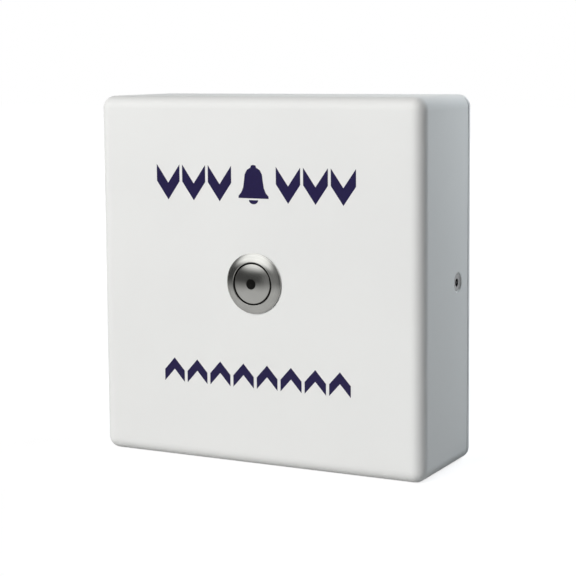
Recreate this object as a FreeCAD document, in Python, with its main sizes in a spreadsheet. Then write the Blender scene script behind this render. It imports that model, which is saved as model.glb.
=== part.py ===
import FreeCAD, Part
import math
import os

import Sketcher

# Wall-mounted network call button: a painted metal box, a 19 mm stainless push button in
# the middle of its face, a wall plate behind it, and the electronics between them.
# Millimetres. +Z is up, the wall is the plane y = 0 and the face looks along -Y.
# A distance called "out" is measured from the wall, so it lies at y = -out.
# The origin is the middle of the rear face of the wall plate.

SIZES = [
    # the box
    ("box_width", 127.0, "outside width"),
    ("box_height", 130.0, "outside height"),
    ("box_depth", 43.0, "wall to face"),
    ("outer_radius", 4.4, "rounding of the cover's edges and corners"),
    ("wall_thickness", 2.4, "sides and face of the cover"),
    ("seam_gap", 0.5, "shadow line between cover and wall plate"),
    # the wall plate
    ("plate_thickness", 2.0, "wall plate"),
    ("plate_edge_round", 0.5, "rounding of its rim"),
    ("entry_width", 46.0, "cable entry"),
    ("entry_height", 28.0, "cable entry"),
    ("entry_land", 3.0, "plate between the cable entry and the upper slot"),
    ("entry_radius", 6.0, "corners of the cable entry"),
    ("gang_spacing", 83.3, "screws of a single wall box, top to bottom"),
    ("gang_slot_length", 10.0, "end to end"),
    ("gang_slot_width", 4.6, "slots of the wall box screws"),
    ("wall_hole_inset", 15.0, "edge of the plate to the corner holes"),
    ("wall_hole_radius", 2.5, "corner holes"),
    # folded brackets, one in the middle of each side, with a nut welded on
    ("bracket_width", 22.0, "along the side"),
    ("bracket_thickness", 1.6, "sheet"),
    ("bracket_rise", 16.0, "above the plate"),
    ("bracket_foot", 12.0, "from its upright inwards"),
    ("bracket_bend", 1.5, "inside radius of the fold"),
    ("bracket_gap", 0.3, "upright to the inside of the cover"),
    ("nut_thickness", 2.8, "weld nut"),
    ("nut_flats", 7.0, "weld nut, across flats"),
    # countersunk screws in the sides
    ("screw_setback", 11.7, "wall to the axis of a side screw"),
    ("screw_radius", 1.75, "shank"),
    ("screw_head_radius", 3.1, "countersunk head"),
    ("screw_length", 8.0, "with its head"),
    ("screw_recess", 0.4, "head below the side of the box"),
    ("screw_socket_radius", 1.55, "hexagonal socket, to its corners"),
    ("screw_socket_depth", 1.6, "hexagonal socket"),
    ("screw_pin_radius", 0.45, "tamper pin in the socket"),
    ("head_clearance", 0.1, "head to countersink"),
    ("screw_clearance", 0.2, "shank to the holes that it passes"),
    ("thread_clearance", 0.05, "thread to thread"),
    # push button
    ("barrel_radius", 9.5, "threaded barrel, for a 19 mm hole"),
    ("barrel_clearance", 0.1, "barrel to its hole"),
    ("barrel_length", 16.0, "behind the face of the box"),
    ("barrel_wall", 1.2, "wall of the barrel"),
    ("bezel_overhang", 1.15, "bezel past the barrel"),
    ("bezel_side", 0.5, "straight outer side of the bezel"),
    ("bezel_mouth", 1.8, "inner lip of the bezel above the face"),
    ("bezel_bow", 9.0, "radius of the bezel's rounded ring"),
    ("mouth_round", 0.2, "rounding of the bezel's inner edge"),
    ("lip_width", 0.8, "lip that keeps the plunger in"),
    ("lip_depth", 2.5, "lip, from the face inwards"),
    ("seal_width", 0.7, "groove and seal under the bezel"),
    ("seal_height", 0.45, "groove under the bezel"),
    ("seal_clearance", 0.1, "seal to its groove"),
    ("ring_nut_wall", 1.5, "ring nut, barrel to its flats"),
    ("ring_nut_thickness", 3.0, "hexagonal ring nut"),
    ("cap_gap", 0.5, "cap to the bezel"),
    ("cap_rim", 1.6, "rim of the cap above the face"),
    ("cap_rise", 1.0, "dome of the cap above its rim"),
    ("cap_rim_round", 0.3, "rounded edge of the cap"),
    ("cap_skirt", 1.0, "wall of the cap"),
    ("cap_seat", 0.3, "inside of the cap's top, from the face inwards"),
    ("lens_radius", 1.8, "dark dot in the cap"),
    ("lens_clearance", 0.05, "lens to its hole"),
    ("lens_proud", 0.12, "top of the lens above the dome"),
    ("lamp_radius", 1.5, "lamp behind the lens"),
    ("lamp_length", 4.4, "lamp"),
    ("lamp_clearance", 0.1, "lamp to its bore"),
    ("plunger_clearance", 0.08, "plunger to the barrel's bore"),
    ("plunger_flange", 2.4, "thickness of the plunger's flange"),
    ("stem_radius", 3.0, "plunger stem"),
    ("stem_clearance", 0.1, "stem to the guide washer"),
    ("stop_gap", 0.1, "plunger to the lip at rest"),
    ("press_travel", 2.2, "travel of the button"),
    ("spring_room", 5.5, "plunger to guide washer at rest"),
    ("spring_radius", 4.9, "middle of the wire"),
    ("spring_wire_radius", 0.28, "wire"),
    ("spring_turns", 4.0, "turns"),
    ("guide_thickness", 1.3, "guide washer"),
    ("block_clearance", 0.1, "contact block to the barrel's bore"),
    ("block_wall", 2.0, "wall of the contact block"),
    ("block_floor", 3.3, "floor of the contact block"),
    ("bridge_reach", 0.6, "guide washer to the contact bridge"),
    ("bridge_length", 10.0, "contact bridge"),
    ("bridge_width", 3.0, "contact bridge"),
    ("bridge_thickness", 0.5, "contact bridge"),
    ("contact_gap", 0.1, "bridge to the fixed contacts when pressed"),
    ("contact_height", 0.8, "fixed contacts above the floor"),
    ("blade_pitch", 2.5, "sideways step from one terminal to the next"),
    ("blade_spread", 5.0, "lamp terminals above and below the middle"),
    ("blade_width", 2.6, "terminal blade"),
    ("blade_thickness", 0.5, "terminal blade"),
    ("blade_reach", 5.5, "blade behind the contact block"),
    ("blade_clearance", 0.05, "blade to its slot"),
    # circuit board, on bosses inside the face
    ("board_standoff", 10.0, "inside of the face to the board"),
    ("board_thickness", 1.6, "board"),
    ("board_margin", 6.6, "side of the board to the inside of the cover"),
    ("board_foot_gap", 3.1, "bottom of the board to the inside of the cover"),
    ("board_nut_gap", 4.8, "top of the board to the ring nut's corners"),
    ("boss_inset", 4.0, "edge of the board to a boss"),
    ("boss_radius", 3.5, "boss"),
    ("boss_bore_depth", 8.0, "tapped hole of a boss"),
    ("board_screw_radius", 1.5, "shank"),
    ("board_screw_length", 8.0, "below its head"),
    ("board_screw_head_radius", 2.8, "pan head"),
    ("board_screw_head_height", 2.0, "pan head"),
    ("cross_depth", 1.1, "cross recess"),
    ("cross_width", 0.8, "cross recess"),
    ("end_margin", 10.0, "side of the board to the outermost connectors"),
    ("can_margin", 12.0, "side of the board to the first electrolytic can"),
    ("part_margin", 2.5, "bottom of the board to the lowest parts"),
    ("row_gap", 1.5, "space between parts on the board"),
    # network socket, open at the top
    ("jack_width", 16.0, "shield"),
    ("jack_height", 13.4, "shield, off the board"),
    ("jack_length", 19.5, "shield"),
    ("jack_overhang", 0.5, "socket past the edge of the board"),
    ("shield_thickness", 0.4, "shield"),
    ("shield_clearance", 0.05, "shield to the moulding in it"),
    ("socket_width", 11.8, "opening for the plug"),
    ("socket_height", 8.6, "opening for the plug"),
    ("socket_depth", 13.0, "opening for the plug"),
    ("socket_floor", 1.6, "moulding between board and opening"),
    ("latch_width", 6.2, "notch for the plug's latch"),
    ("latch_height", 1.6, "notch for the plug's latch"),
    ("contact_pitch", 1.02, "socket contacts"),
    ("contact_wire", 0.4, "socket contacts"),
    ("contact_length", 9.0, "socket contacts"),
    # other parts on the board
    ("header_width", 12.4, "button connector, fixed half"),
    ("header_length", 5.8, "button connector, fixed half"),
    ("header_height", 6.0, "button connector, fixed half"),
    ("header_wall", 0.7, "button connector, fixed half"),
    ("header_floor", 1.2, "button connector, fixed half"),
    ("plug_height", 9.0, "button connector, loose half"),
    ("plug_clearance", 0.1, "loose half to fixed half"),
    ("wire_radius", 0.65, "button wires"),
    ("wire_bend", 2.6, "button wires"),
    ("wire_drop", 6.0, "wires behind the terminals"),
    ("processor_side", 13.0, "main chip"),
    ("processor_height", 1.4, "main chip"),
    ("memory_width", 8.0, "memory chip"),
    ("memory_length", 5.2, "memory chip"),
    ("memory_height", 1.8, "memory chip"),
    ("chip_gap", 3.0, "main chip to the memory chip"),
    ("part_round", 0.4, "rounding of moulded and pressed parts"),
    ("transformer_width", 14.0, "line transformer"),
    ("transformer_length", 9.6, "line transformer"),
    ("transformer_height", 6.4, "line transformer"),
    ("inductor_side", 9.0, "power choke"),
    ("inductor_height", 4.5, "power choke"),
    ("inductor_offset", 14.0, "power choke, right of the middle"),
    ("capacitor_radius", 4.0, "electrolytic cans"),
    ("capacitor_height", 11.0, "electrolytic cans"),
    ("crimp_height", 1.8, "middle of the crimp round a can"),
    ("crimp_width", 0.8, "crimp round a can"),
    ("capacitor_pitch", 9.6, "electrolytic cans"),
    ("crystal_width", 10.6, "crystal can"),
    ("crystal_length", 4.4, "crystal can"),
    ("crystal_height", 3.4, "crystal can"),
    ("relay_width", 15.4, "door relay"),
    ("relay_length", 10.2, "door relay"),
    ("relay_height", 11.4, "door relay"),
    ("pole_pitch", 5.08, "terminal block"),
    ("block_length", 8.8, "terminal block, along the wires"),
    ("block_height", 10.4, "terminal block, off the board"),
    ("wire_hole_radius", 1.6, "terminal block"),
    ("clamp_radius", 1.7, "clamping screws"),
    ("clamp_height", 4.0, "clamping screws"),
    ("clamp_clearance", 0.1, "clamping screw to its hole"),
    ("clamp_slot_width", 0.7, "slot in a clamping screw"),
    ("clamp_slot_depth", 0.8, "slot in a clamping screw"),
    ("clamp_sink", 0.8, "clamping screw below the top of the block"),
    ("wire_hole_height", 3.4, "wire hole above the board"),
    ("wire_hole_depth", 6.0, "wire hole"),
]

POLES = 4
SOCKET_CONTACTS = 8
CAPACITORS = 3
PLANE_TOLERANCE = 1e-6

# planes, as distances out from the wall
FACE = "size.box_depth"
INNER_FACE = "(size.box_depth - size.wall_thickness)"
BOARD_FRONT = f"({INNER_FACE} - size.board_standoff)"
BOARD_REAR = f"({BOARD_FRONT} - size.board_thickness)"
COVER_REAR = "(size.plate_thickness + size.seam_gap)"

# radii in the push button, from its barrel inwards
BEZEL = "(size.barrel_radius + size.bezel_overhang)"
BORE = "(size.barrel_radius - size.barrel_wall)"
MOUTH = f"({BORE} - size.lip_width)"
CAP = f"({MOUTH} - size.cap_gap)"
PLUNGER = f"({BORE} - size.plunger_clearance)"
BLOCK = f"({BORE} - size.block_clearance)"
RING_NUT_CORNER = "((size.barrel_radius + size.ring_nut_wall) * 2 / sqrt(3))"

# planes in the push button, as distances in from the face of the box
SHOULDER = "(size.lip_depth + size.stop_gap)"
SPRING_TOP = f"({SHOULDER} + size.plunger_flange)"
GUIDE_TOP = f"({SPRING_TOP} + size.spring_room)"
BLOCK_TOP = f"({GUIDE_TOP} + size.guide_thickness)"
BRIDGE_TOP = f"({BLOCK_TOP} + size.bridge_reach)"
CONTACT_TOP = f"({BRIDGE_TOP} + size.bridge_thickness + size.press_travel + size.contact_gap)"
CAVITY_FLOOR = f"({CONTACT_TOP} + size.contact_height)"
BLOCK_END = f"({CAVITY_FLOOR} + size.block_floor)"
BLADE_END = f"({BLOCK_END} + size.blade_reach)"
LENS_SEAT = "(size.cap_seat + size.lens_clearance)"

# edges of the circuit board
BOARD_SIDE = "(size.box_width / 2 - size.wall_thickness - size.board_margin)"
BOARD_TOP = f"(-{RING_NUT_CORNER} - size.board_nut_gap)"
BOARD_BOTTOM = "(size.wall_thickness + size.board_foot_gap - size.box_height / 2)"
LOW_ROW = f"({BOARD_BOTTOM} + size.part_margin)"

doc = FreeCAD.newDocument("call_button")
nodes = []


def make_sheet():
    """The spreadsheet of driving sizes, one row each."""
    made = doc.addObject("Spreadsheet::Sheet", "size")
    for row, (name, number, note) in enumerate(SIZES, 1):
        made.set(f"A{row}", name)
        made.set(f"B{row}", str(number))
        made.set(f"C{row}", note)
        made.setAlias(f"B{row}", name)
    doc.recompute()
    return made


sheet = make_sheet()


def number_of(formula):
    return float(sheet.evalExpression(formula))


# helpers for bodies and sketches


def new_body(label):
    body = doc.addObject("PartDesign::Body", label)
    body.Label = label
    return body


def keep(piece):
    """Lists a finished piece as a node of the model."""
    nodes.append(piece)
    return piece


def origin_part(body, role):
    return [item for item in body.Origin.OriginFeatures if item.Role == role][0]


def sketch_on(body, role, offset=None, across=None, up=None):
    """A sketch on one of the body's own planes, moved along its normal, and in the plane, by formulas."""
    sketch = body.newObject("Sketcher::SketchObject", body.Name + "_sketch")
    sketch.AttachmentSupport = [(origin_part(body, role), "")]
    sketch.MapMode = "FlatFace"
    for axis, formula in (("x", across), ("y", up), ("z", offset)):
        if formula:
            sketch.setExpression("AttachmentOffset.Base." + axis, formula)
    return sketch


def pin_point(sketch, item, end, across, up):
    """Holds a point of the sketch at two formulas, measured from the sketch's origin."""
    for kind, formula, axis in (("DistanceX", across, -2), ("DistanceY", up, -1)):
        if formula == "0":
            sketch.addConstraint(Sketcher.Constraint("PointOnObject", item, end, axis))
        else:
            rule = Sketcher.Constraint(kind, -1, 1, item, end, number_of(formula))
            index = sketch.addConstraint(rule)
            sketch.setExpression(f"Constraints[{index}]", formula)


def bowed(start, end, radius):
    """An arc from start to end that bulges to the right of the way it runs."""
    chord = end - start
    half = chord.Length / 2
    sagitta = radius - (radius**2 - half**2) ** 0.5
    right = FreeCAD.Vector(chord.y, -chord.x, 0).normalize()
    return Part.Arc(start, (start + end) / 2 + right * sagitta, end)


def outline(sketch, corners, bows=None, closed=True):
    """Lines through the corners; bows gives the radius of the stretches that are arcs."""
    bows = bows or {}
    points = [FreeCAD.Vector(number_of(a), number_of(b), 0) for a, b in corners]
    ends = []
    for place, start in enumerate(points if closed else points[:-1]):
        end = points[(place + 1) % len(points)]
        if place in bows:
            item = sketch.addGeometry(bowed(start, end, number_of(bows[place])), False)
            index = sketch.addConstraint(Sketcher.Constraint("Radius", item, number_of(bows[place])))
            sketch.setExpression(f"Constraints[{index}]", bows[place])
            runs_forward = sketch.getPoint(item, 1).distanceToPoint(start) < PLANE_TOLERANCE
        else:
            item = sketch.addGeometry(Part.LineSegment(start, end), False)
            runs_forward = True
        ends.append((item, 1, 2) if runs_forward else (item, 2, 1))
    for place, here in enumerate(ends):
        before = ends[place - 1]
        if closed or place > 0:
            sketch.addConstraint(Sketcher.Constraint("Coincident", before[0], before[2], here[0], here[1]))
        pin_point(sketch, here[0], here[1], *corners[place])
    if not closed:
        pin_point(sketch, ends[-1][0], ends[-1][2], *corners[-1])


def rectangle(sketch, width, height, across="0", up="0"):
    left, right = f"{across} - {width} / 2", f"{across} + {width} / 2"
    low, high = f"{up} - {height} / 2", f"{up} + {height} / 2"
    outline(sketch, [(left, low), (right, low), (right, high), (left, high)])


def circle(sketch, radius, across="0", up="0"):
    centre = FreeCAD.Vector(number_of(across), number_of(up), 0)
    item = sketch.addGeometry(Part.Circle(centre, FreeCAD.Vector(0, 0, 1), number_of(radius)), False)
    index = sketch.addConstraint(Sketcher.Constraint("Radius", item, number_of(radius)))
    sketch.setExpression(f"Constraints[{index}]", radius)
    pin_point(sketch, item, 3, across, up)


def hexagon(sketch, corner_radius):
    half, flat = f"{corner_radius} / 2", f"{corner_radius} * sqrt(3) / 2"
    outline(
        sketch,
        [
            (corner_radius, "0"),
            (half, flat),
            ("-" + half, flat),
            ("-" + corner_radius, "0"),
            ("-" + half, "-" + flat),
            (half, "-" + flat),
        ],
    )


def pad(body, sketch, length, reverse=False, both_ways=False):
    feature = body.newObject("PartDesign::Pad", body.Name + "_pad")
    feature.Profile = sketch
    feature.setExpression("Length", length)
    feature.Reversed = reverse
    feature.Midplane = both_ways
    doc.recompute()
    return feature


def cut(body, sketch, depth, reverse=False):
    """A pocket, which must take material away."""
    before = body.Shape.Volume
    feature = body.newObject("PartDesign::Pocket", body.Name + "_pocket")
    feature.Profile = sketch
    feature.setExpression("Length", depth)
    feature.Reversed = reverse
    doc.recompute()
    if body.Shape.Volume > before - PLANE_TOLERANCE:
        raise RuntimeError(f"{feature.Label} cuts nothing")
    return feature


def turn(body, sketch):
    """Revolves the sketch about its own vertical axis."""
    feature = body.newObject("PartDesign::Revolution", body.Name + "_turned")
    feature.Profile = sketch
    feature.ReferenceAxis = (sketch, ["V_Axis"])
    feature.Angle = 360
    doc.recompute()
    return feature


def middle_of(edge):
    return edge.valueAt((edge.FirstParameter + edge.LastParameter) / 2)


def direction_of(edge):
    """The direction of a straight edge, or no direction for a curve."""
    ends = edge.valueAt(edge.LastParameter) - edge.valueAt(edge.FirstParameter)
    straight = abs(ends.Length - edge.Length) < PLANE_TOLERANCE
    return ends.normalize() if straight else FreeCAD.Vector()


def runs_along(edge, direction):
    return abs(direction_of(edge).dot(direction)) > 1 - PLANE_TOLERANCE


def round_edges(body, radius, chosen):
    """Rounds the edges of the body that chosen(edge, its middle) picks."""
    base = body.Tip
    found = [f"Edge{n}" for n, edge in enumerate(base.Shape.Edges, 1) if chosen(edge, middle_of(edge))]
    feature = body.newObject("PartDesign::Fillet", body.Name + "_round")
    feature.Base = (base, found)
    feature.setExpression("Radius", radius)
    doc.recompute()
    return feature


def lathe(label, corners, bows=None):
    """A piece turned about the button's axis, from corners given as radius and distance in from the face."""
    body = new_body(label)
    # on this plane the sketch's Y runs into the box
    sketch = sketch_on(body, "XY_Plane", up="-size.box_depth")
    outline(sketch, corners, bows)
    turn(body, sketch)
    return body


ALONG_Y = FreeCAD.Vector(0, 1, 0)
ALONG_X = FreeCAD.Vector(1, 0, 0)

# the middle of each side: name and place
SIDES = [
    ("top", "0", "size.box_height / 2"),
    ("right", "size.box_width / 2", "0"),
    ("bottom", "0", "-size.box_height / 2"),
    ("left", "-size.box_width / 2", "0"),
]


def set_on_side(piece, side):
    """Moves a piece modelled for the top, with the outside surface at z = 0, to one of the sides."""
    _, across, up = side
    outwards = math.degrees(math.atan2(number_of(across), number_of(up)))
    piece.Placement = FreeCAD.Placement(FreeCAD.Vector(), FreeCAD.Rotation(ALONG_Y, outwards))
    piece.setExpression("Placement.Base.x", across)
    piece.setExpression("Placement.Base.z", up)


def group(label, pieces):
    """Several like solids as one node."""
    made = doc.addObject("Part::Compound", label)
    made.Label = label
    made.Links = pieces
    doc.recompute()
    return keep(made)


# helpers for plain solids


def block(label, width, depth, height, across, out, up):
    """A plain box centred at across and up, that reaches from out towards the wall by depth."""
    made = doc.addObject("Part::Box", label)
    made.Label = label
    made.setExpression("Length", width)
    made.setExpression("Width", depth)
    made.setExpression("Height", height)
    made.setExpression("Placement.Base.x", f"{across} - ({width}) / 2")
    made.setExpression("Placement.Base.y", f"-({out})")
    made.setExpression("Placement.Base.z", f"{up} - ({height}) / 2")
    doc.recompute()
    return made


def board_block(label, width, length, height, across, up, corner_round="size.part_round"):
    """A body on the rear of the board, centred at across and up, with every edge but the lowest rounded."""
    body = new_body(label)
    sketch = sketch_on(body, "XZ_Plane", offset=BOARD_REAR)
    rectangle(sketch, f"({width})", f"({length})", f"({across})", f"({up})")
    pad(body, sketch, height, reverse=True)
    foot = -number_of(BOARD_REAR)
    round_edges(body, corner_round, lambda edge, mid: abs(mid.y - foot) > PLANE_TOLERANCE)
    return body


# the box


def make_cover():
    body = new_body("front_cover")
    front = -number_of(FACE)
    sketch = sketch_on(body, "XZ_Plane", offset=COVER_REAR)
    rectangle(sketch, "size.box_width", "size.box_height")
    pad(body, sketch, f"{FACE} - {COVER_REAR}")
    round_edges(
        body,
        "size.outer_radius",
        lambda edge, mid: runs_along(edge, ALONG_Y) or abs(mid.y - front) < PLANE_TOLERANCE,
    )
    hollow_cover(body)
    add_bosses(body)
    sketch = sketch_on(body, "XZ_Plane", offset=FACE)
    circle(sketch, "size.barrel_radius + size.barrel_clearance")
    cut(body, sketch, "size.wall_thickness")
    for plane, half in (("XY_Plane", "size.box_height / 2"), ("YZ_Plane", "size.box_width / 2")):
        countersink_pair(body, plane, half)
    keep(body)


def hollow_cover(body):
    """Opens the cover at the rear and rounds the inside to match the outside."""
    sketch = sketch_on(body, "XZ_Plane", offset=COVER_REAR)
    inner_width = "size.box_width - 2 * size.wall_thickness"
    inner_height = "size.box_height - 2 * size.wall_thickness"
    rectangle(sketch, f"({inner_width})", f"({inner_height})")
    cut(body, sketch, f"{INNER_FACE} - {COVER_REAR}", reverse=True)
    floor = -number_of(INNER_FACE)
    half_width = number_of(inner_width) / 2
    half_height = number_of(inner_height) / 2

    def inside_corner(edge, mid):
        beside = abs(abs(mid.x) - half_width) < PLANE_TOLERANCE
        above = abs(abs(mid.z) - half_height) < PLANE_TOLERANCE
        on_floor = abs(mid.y - floor) < PLANE_TOLERANCE
        return (beside and above) or on_floor

    round_edges(body, "size.outer_radius - size.wall_thickness", inside_corner)


def boss_places():
    """Across and up of the four bosses, at the corners of the board."""
    side = f"({BOARD_SIDE} - size.boss_inset)"
    high = f"({BOARD_TOP} - size.boss_inset)"
    low = f"({BOARD_BOTTOM} + size.boss_inset)"
    return [(sign + side, up) for sign in ("-", "") for up in (high, low)]


def add_bosses(body):
    """Bosses that carry the circuit board, tapped from the rear."""
    sketch = sketch_on(body, "XZ_Plane", offset=BOARD_FRONT)
    for across, up in boss_places():
        circle(sketch, "size.boss_radius", across, up)
    pad(body, sketch, "size.board_standoff")
    sketch = sketch_on(body, "XZ_Plane", offset=BOARD_FRONT)
    for across, up in boss_places():
        circle(sketch, "size.board_screw_radius + size.thread_clearance", across, up)
    cut(body, sketch, "size.boss_bore_depth", reverse=True)


def countersink_pair(body, plane, half):
    """A countersunk hole through one side, and its mirror image through the opposite one."""
    on_top = plane == "XY_Plane"
    sketch = sketch_on(body, plane, offset=half)
    back = "-size.screw_setback"
    circle(sketch, "size.screw_radius", "0" if on_top else back, back if on_top else "0")
    doc.recompute()
    before = body.Shape.Volume
    hole = body.newObject("PartDesign::Hole", body.Name + "_screw_hole")
    hole.Profile = sketch
    doc.recompute()
    hole.DepthType = "Dimension"
    hole.setExpression("Depth", "size.wall_thickness + size.outer_radius")
    hole.DrillPoint = "Flat"
    hole.setExpression("Diameter", "2 * (size.screw_radius + size.screw_clearance)")
    hole.HoleCutType = "Countersink"
    hole.HoleCutCountersinkAngle = 90
    hole.setExpression(
        "HoleCutDiameter", "2 * (size.screw_head_radius + size.head_clearance + size.screw_recess)"
    )
    doc.recompute()
    mirrored = body.newObject("PartDesign::Mirrored", body.Name + "_far_hole")
    mirrored.Originals = [hole]
    mirrored.MirrorPlane = (origin_part(body, plane), [""])
    body.Tip = mirrored
    doc.recompute()
    if body.Shape.Volume > before - PLANE_TOLERANCE:
        raise RuntimeError("the side holes cut nothing")


def slot(sketch, length, width, up):
    """An upright slot: two straight sides and two round ends."""
    left, right = f"-{width} / 2", f"{width} / 2"
    low = f"{up} - ({length} - {width}) / 2"
    high = f"{up} + ({length} - {width}) / 2"
    across, rise, half = number_of(right), number_of(high), number_of(width) / 2
    drop = number_of(low)
    corners = [(left, low), (right, low), (right, high), (left, high)]
    points = [FreeCAD.Vector(-across, drop, 0), FreeCAD.Vector(across, drop, 0)]
    points += [FreeCAD.Vector(across, rise, 0), FreeCAD.Vector(-across, rise, 0)]
    bottom = sketch.addGeometry(Part.Arc(points[0], FreeCAD.Vector(0, drop - half, 0), points[1]), False)
    side = sketch.addGeometry(Part.LineSegment(points[1], points[2]), False)
    top = sketch.addGeometry(Part.Arc(points[2], FreeCAD.Vector(0, rise + half, 0), points[3]), False)
    other = sketch.addGeometry(Part.LineSegment(points[3], points[0]), False)
    items = [bottom, side, top, other]
    for place, (item, corner) in enumerate(zip(items, corners)):
        before = items[place - 1]
        sketch.addConstraint(Sketcher.Constraint("Coincident", before, 2, item, 1))
        pin_point(sketch, item, 1, *corner)
    for arc, level in ((bottom, low), (top, high)):
        index = sketch.addConstraint(Sketcher.Constraint("DistanceY", -1, 1, arc, 3, number_of(level)))
        sketch.setExpression(f"Constraints[{index}]", level)


def make_wall_plate():
    body = new_body("wall_plate")
    sketch = sketch_on(body, "XZ_Plane")
    rectangle(sketch, "size.box_width", "size.box_height")
    pad(body, sketch, "size.plate_thickness")
    round_edges(body, "size.outer_radius", lambda edge, mid: runs_along(edge, ALONG_Y))
    round_edges(body, "size.plate_edge_round", lambda edge, mid: not runs_along(edge, ALONG_Y))
    sketch = sketch_on(body, "XZ_Plane")
    entry_top = "(size.gang_spacing / 2 - size.gang_slot_length / 2 - size.entry_land)"
    rectangle(sketch, "size.entry_width", "size.entry_height", up=f"({entry_top} - size.entry_height / 2)")
    cut(body, sketch, "size.plate_thickness", reverse=True)
    half_width = number_of("size.entry_width") / 2
    round_edges(
        body,
        "size.entry_radius",
        lambda edge, mid: runs_along(edge, ALONG_Y) and abs(abs(mid.x) - half_width) < PLANE_TOLERANCE,
    )
    sketch = sketch_on(body, "XZ_Plane")
    for sign in ("-", ""):
        slot(sketch, "size.gang_slot_length", "size.gang_slot_width", sign + "size.gang_spacing / 2")
        for other in ("-", ""):
            across = f"{sign}(size.box_width / 2 - size.wall_hole_inset)"
            up = f"{other}(size.box_height / 2 - size.wall_hole_inset)"
            circle(sketch, "size.wall_hole_radius", across, up)
    cut(body, sketch, "size.plate_thickness", reverse=True)
    keep(body)


def make_bracket(side):
    """A folded bracket: foot on the plate, upright behind the cover's side, hole for the screw."""
    body = new_body(f"{side[0]}_bracket")
    face = "(size.wall_thickness + size.bracket_gap)"
    foot_low = "-size.plate_thickness"
    foot_high = "-(size.plate_thickness + size.bracket_thickness)"
    end = "-(size.plate_thickness + size.bracket_rise)"
    toe = f"-({face} + size.bracket_foot)"
    back = f"-({face} + size.bracket_thickness)"
    sketch = sketch_on(body, "YZ_Plane")
    corners = [(foot_low, "-" + face), (end, "-" + face), (end, back)]
    corners += [(foot_high, back), (foot_high, toe), (foot_low, toe)]
    outline(sketch, corners)
    pad(body, sketch, "size.bracket_width", both_ways=True)
    fold_bracket(body, foot_low, face, "size.bracket_bend + size.bracket_thickness", "-" + face)
    fold_bracket(body, foot_high, face, "size.bracket_bend", back)
    sketch = sketch_on(body, "XY_Plane", offset="-" + face)
    circle(sketch, "size.screw_radius + size.screw_clearance", "0", "-size.screw_setback")
    cut(body, sketch, "size.bracket_thickness")
    set_on_side(body, side)
    return body


def fold_bracket(body, across, face, radius, up):
    """Rounds the edge along the fold that passes through (across, up)."""
    spot = FreeCAD.Vector(0, number_of(across), number_of(up))
    round_edges(body, radius, lambda edge, mid: (mid - spot).Length < PLANE_TOLERANCE)


def make_bracket_nut(side):
    """A hexagonal weld nut on the inside of the upright."""
    body = new_body(f"{side[0]}_nut")
    seat = "-(size.wall_thickness + size.bracket_gap + size.bracket_thickness)"
    sketch = sketch_on(body, "XY_Plane", offset=seat, up="-size.screw_setback")
    hexagon(sketch, "(size.nut_flats / sqrt(3))")
    circle(sketch, "size.screw_radius + size.thread_clearance")
    pad(body, sketch, "size.nut_thickness", reverse=True)
    set_on_side(body, side)
    return body


def make_cover_screw(side):
    """A countersunk security screw: hexagonal socket with a pin left standing in it."""
    body = new_body(f"{side[0]}_screw")
    top = "-size.screw_recess"
    cone_end = "-(size.screw_recess + size.screw_head_radius - size.screw_radius)"
    tip = "-(size.screw_recess + size.screw_length)"
    sketch = sketch_on(body, "XZ_Plane", offset="size.screw_setback")
    corners = [("0", tip), ("size.screw_radius", tip), ("size.screw_radius", cone_end)]
    corners += [("size.screw_head_radius", top), ("0", top)]
    outline(sketch, corners)
    turn(body, sketch)
    sketch = sketch_on(body, "XY_Plane", offset=top, up="-size.screw_setback")
    hexagon(sketch, "size.screw_socket_radius")
    circle(sketch, "size.screw_pin_radius")
    cut(body, sketch, "size.screw_socket_depth")
    set_on_side(body, side)
    return body


def make_side_fixings():
    group("side_brackets", [make_bracket(side) for side in SIDES])
    group("bracket_nuts", [make_bracket_nut(side) for side in SIDES])
    group("cover_screws", [make_cover_screw(side) for side in SIDES])


# the push button; corners are (radius, distance in from the face), negative in front of it


def make_button_housing():
    """Bezel and barrel in one: a rounded ring in front, a lip inside it and a tube behind."""
    seal_edge = "size.barrel_radius + size.seal_width"
    corners = [
        (MOUTH, "-size.bezel_mouth"),
        (BEZEL, "-size.bezel_side"),
        (BEZEL, "0"),
        (seal_edge, "0"),
        (seal_edge, "-size.seal_height"),
        ("size.barrel_radius", "-size.seal_height"),
        ("size.barrel_radius", "size.barrel_length"),
        (BORE, "size.barrel_length"),
        (BORE, "size.lip_depth"),
        (MOUTH, "size.lip_depth"),
    ]
    body = lathe("button_housing", corners, {0: "size.bezel_bow"})
    mouth = -number_of(f"{FACE} + size.bezel_mouth")
    round_edges(body, "size.mouth_round", lambda edge, mid: abs(mid.y - mouth) < PLANE_TOLERANCE)
    keep(body)


def make_button_seal():
    inner = "size.barrel_radius + size.seal_clearance"
    outer = "size.barrel_radius + size.seal_width - size.seal_clearance"
    top = "size.seal_clearance - size.seal_height"
    keep(lathe("button_seal", [(inner, top), (outer, top), (outer, "0"), (inner, "0")]))


def make_ring_nut():
    """The hexagonal nut that draws the button against the face."""
    body = new_body("button_nut")
    sketch = sketch_on(body, "XZ_Plane", offset=INNER_FACE)
    hexagon(sketch, RING_NUT_CORNER)
    circle(sketch, "size.barrel_radius + size.thread_clearance")
    pad(body, sketch, "size.ring_nut_thickness", reverse=True)
    keep(body)


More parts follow.
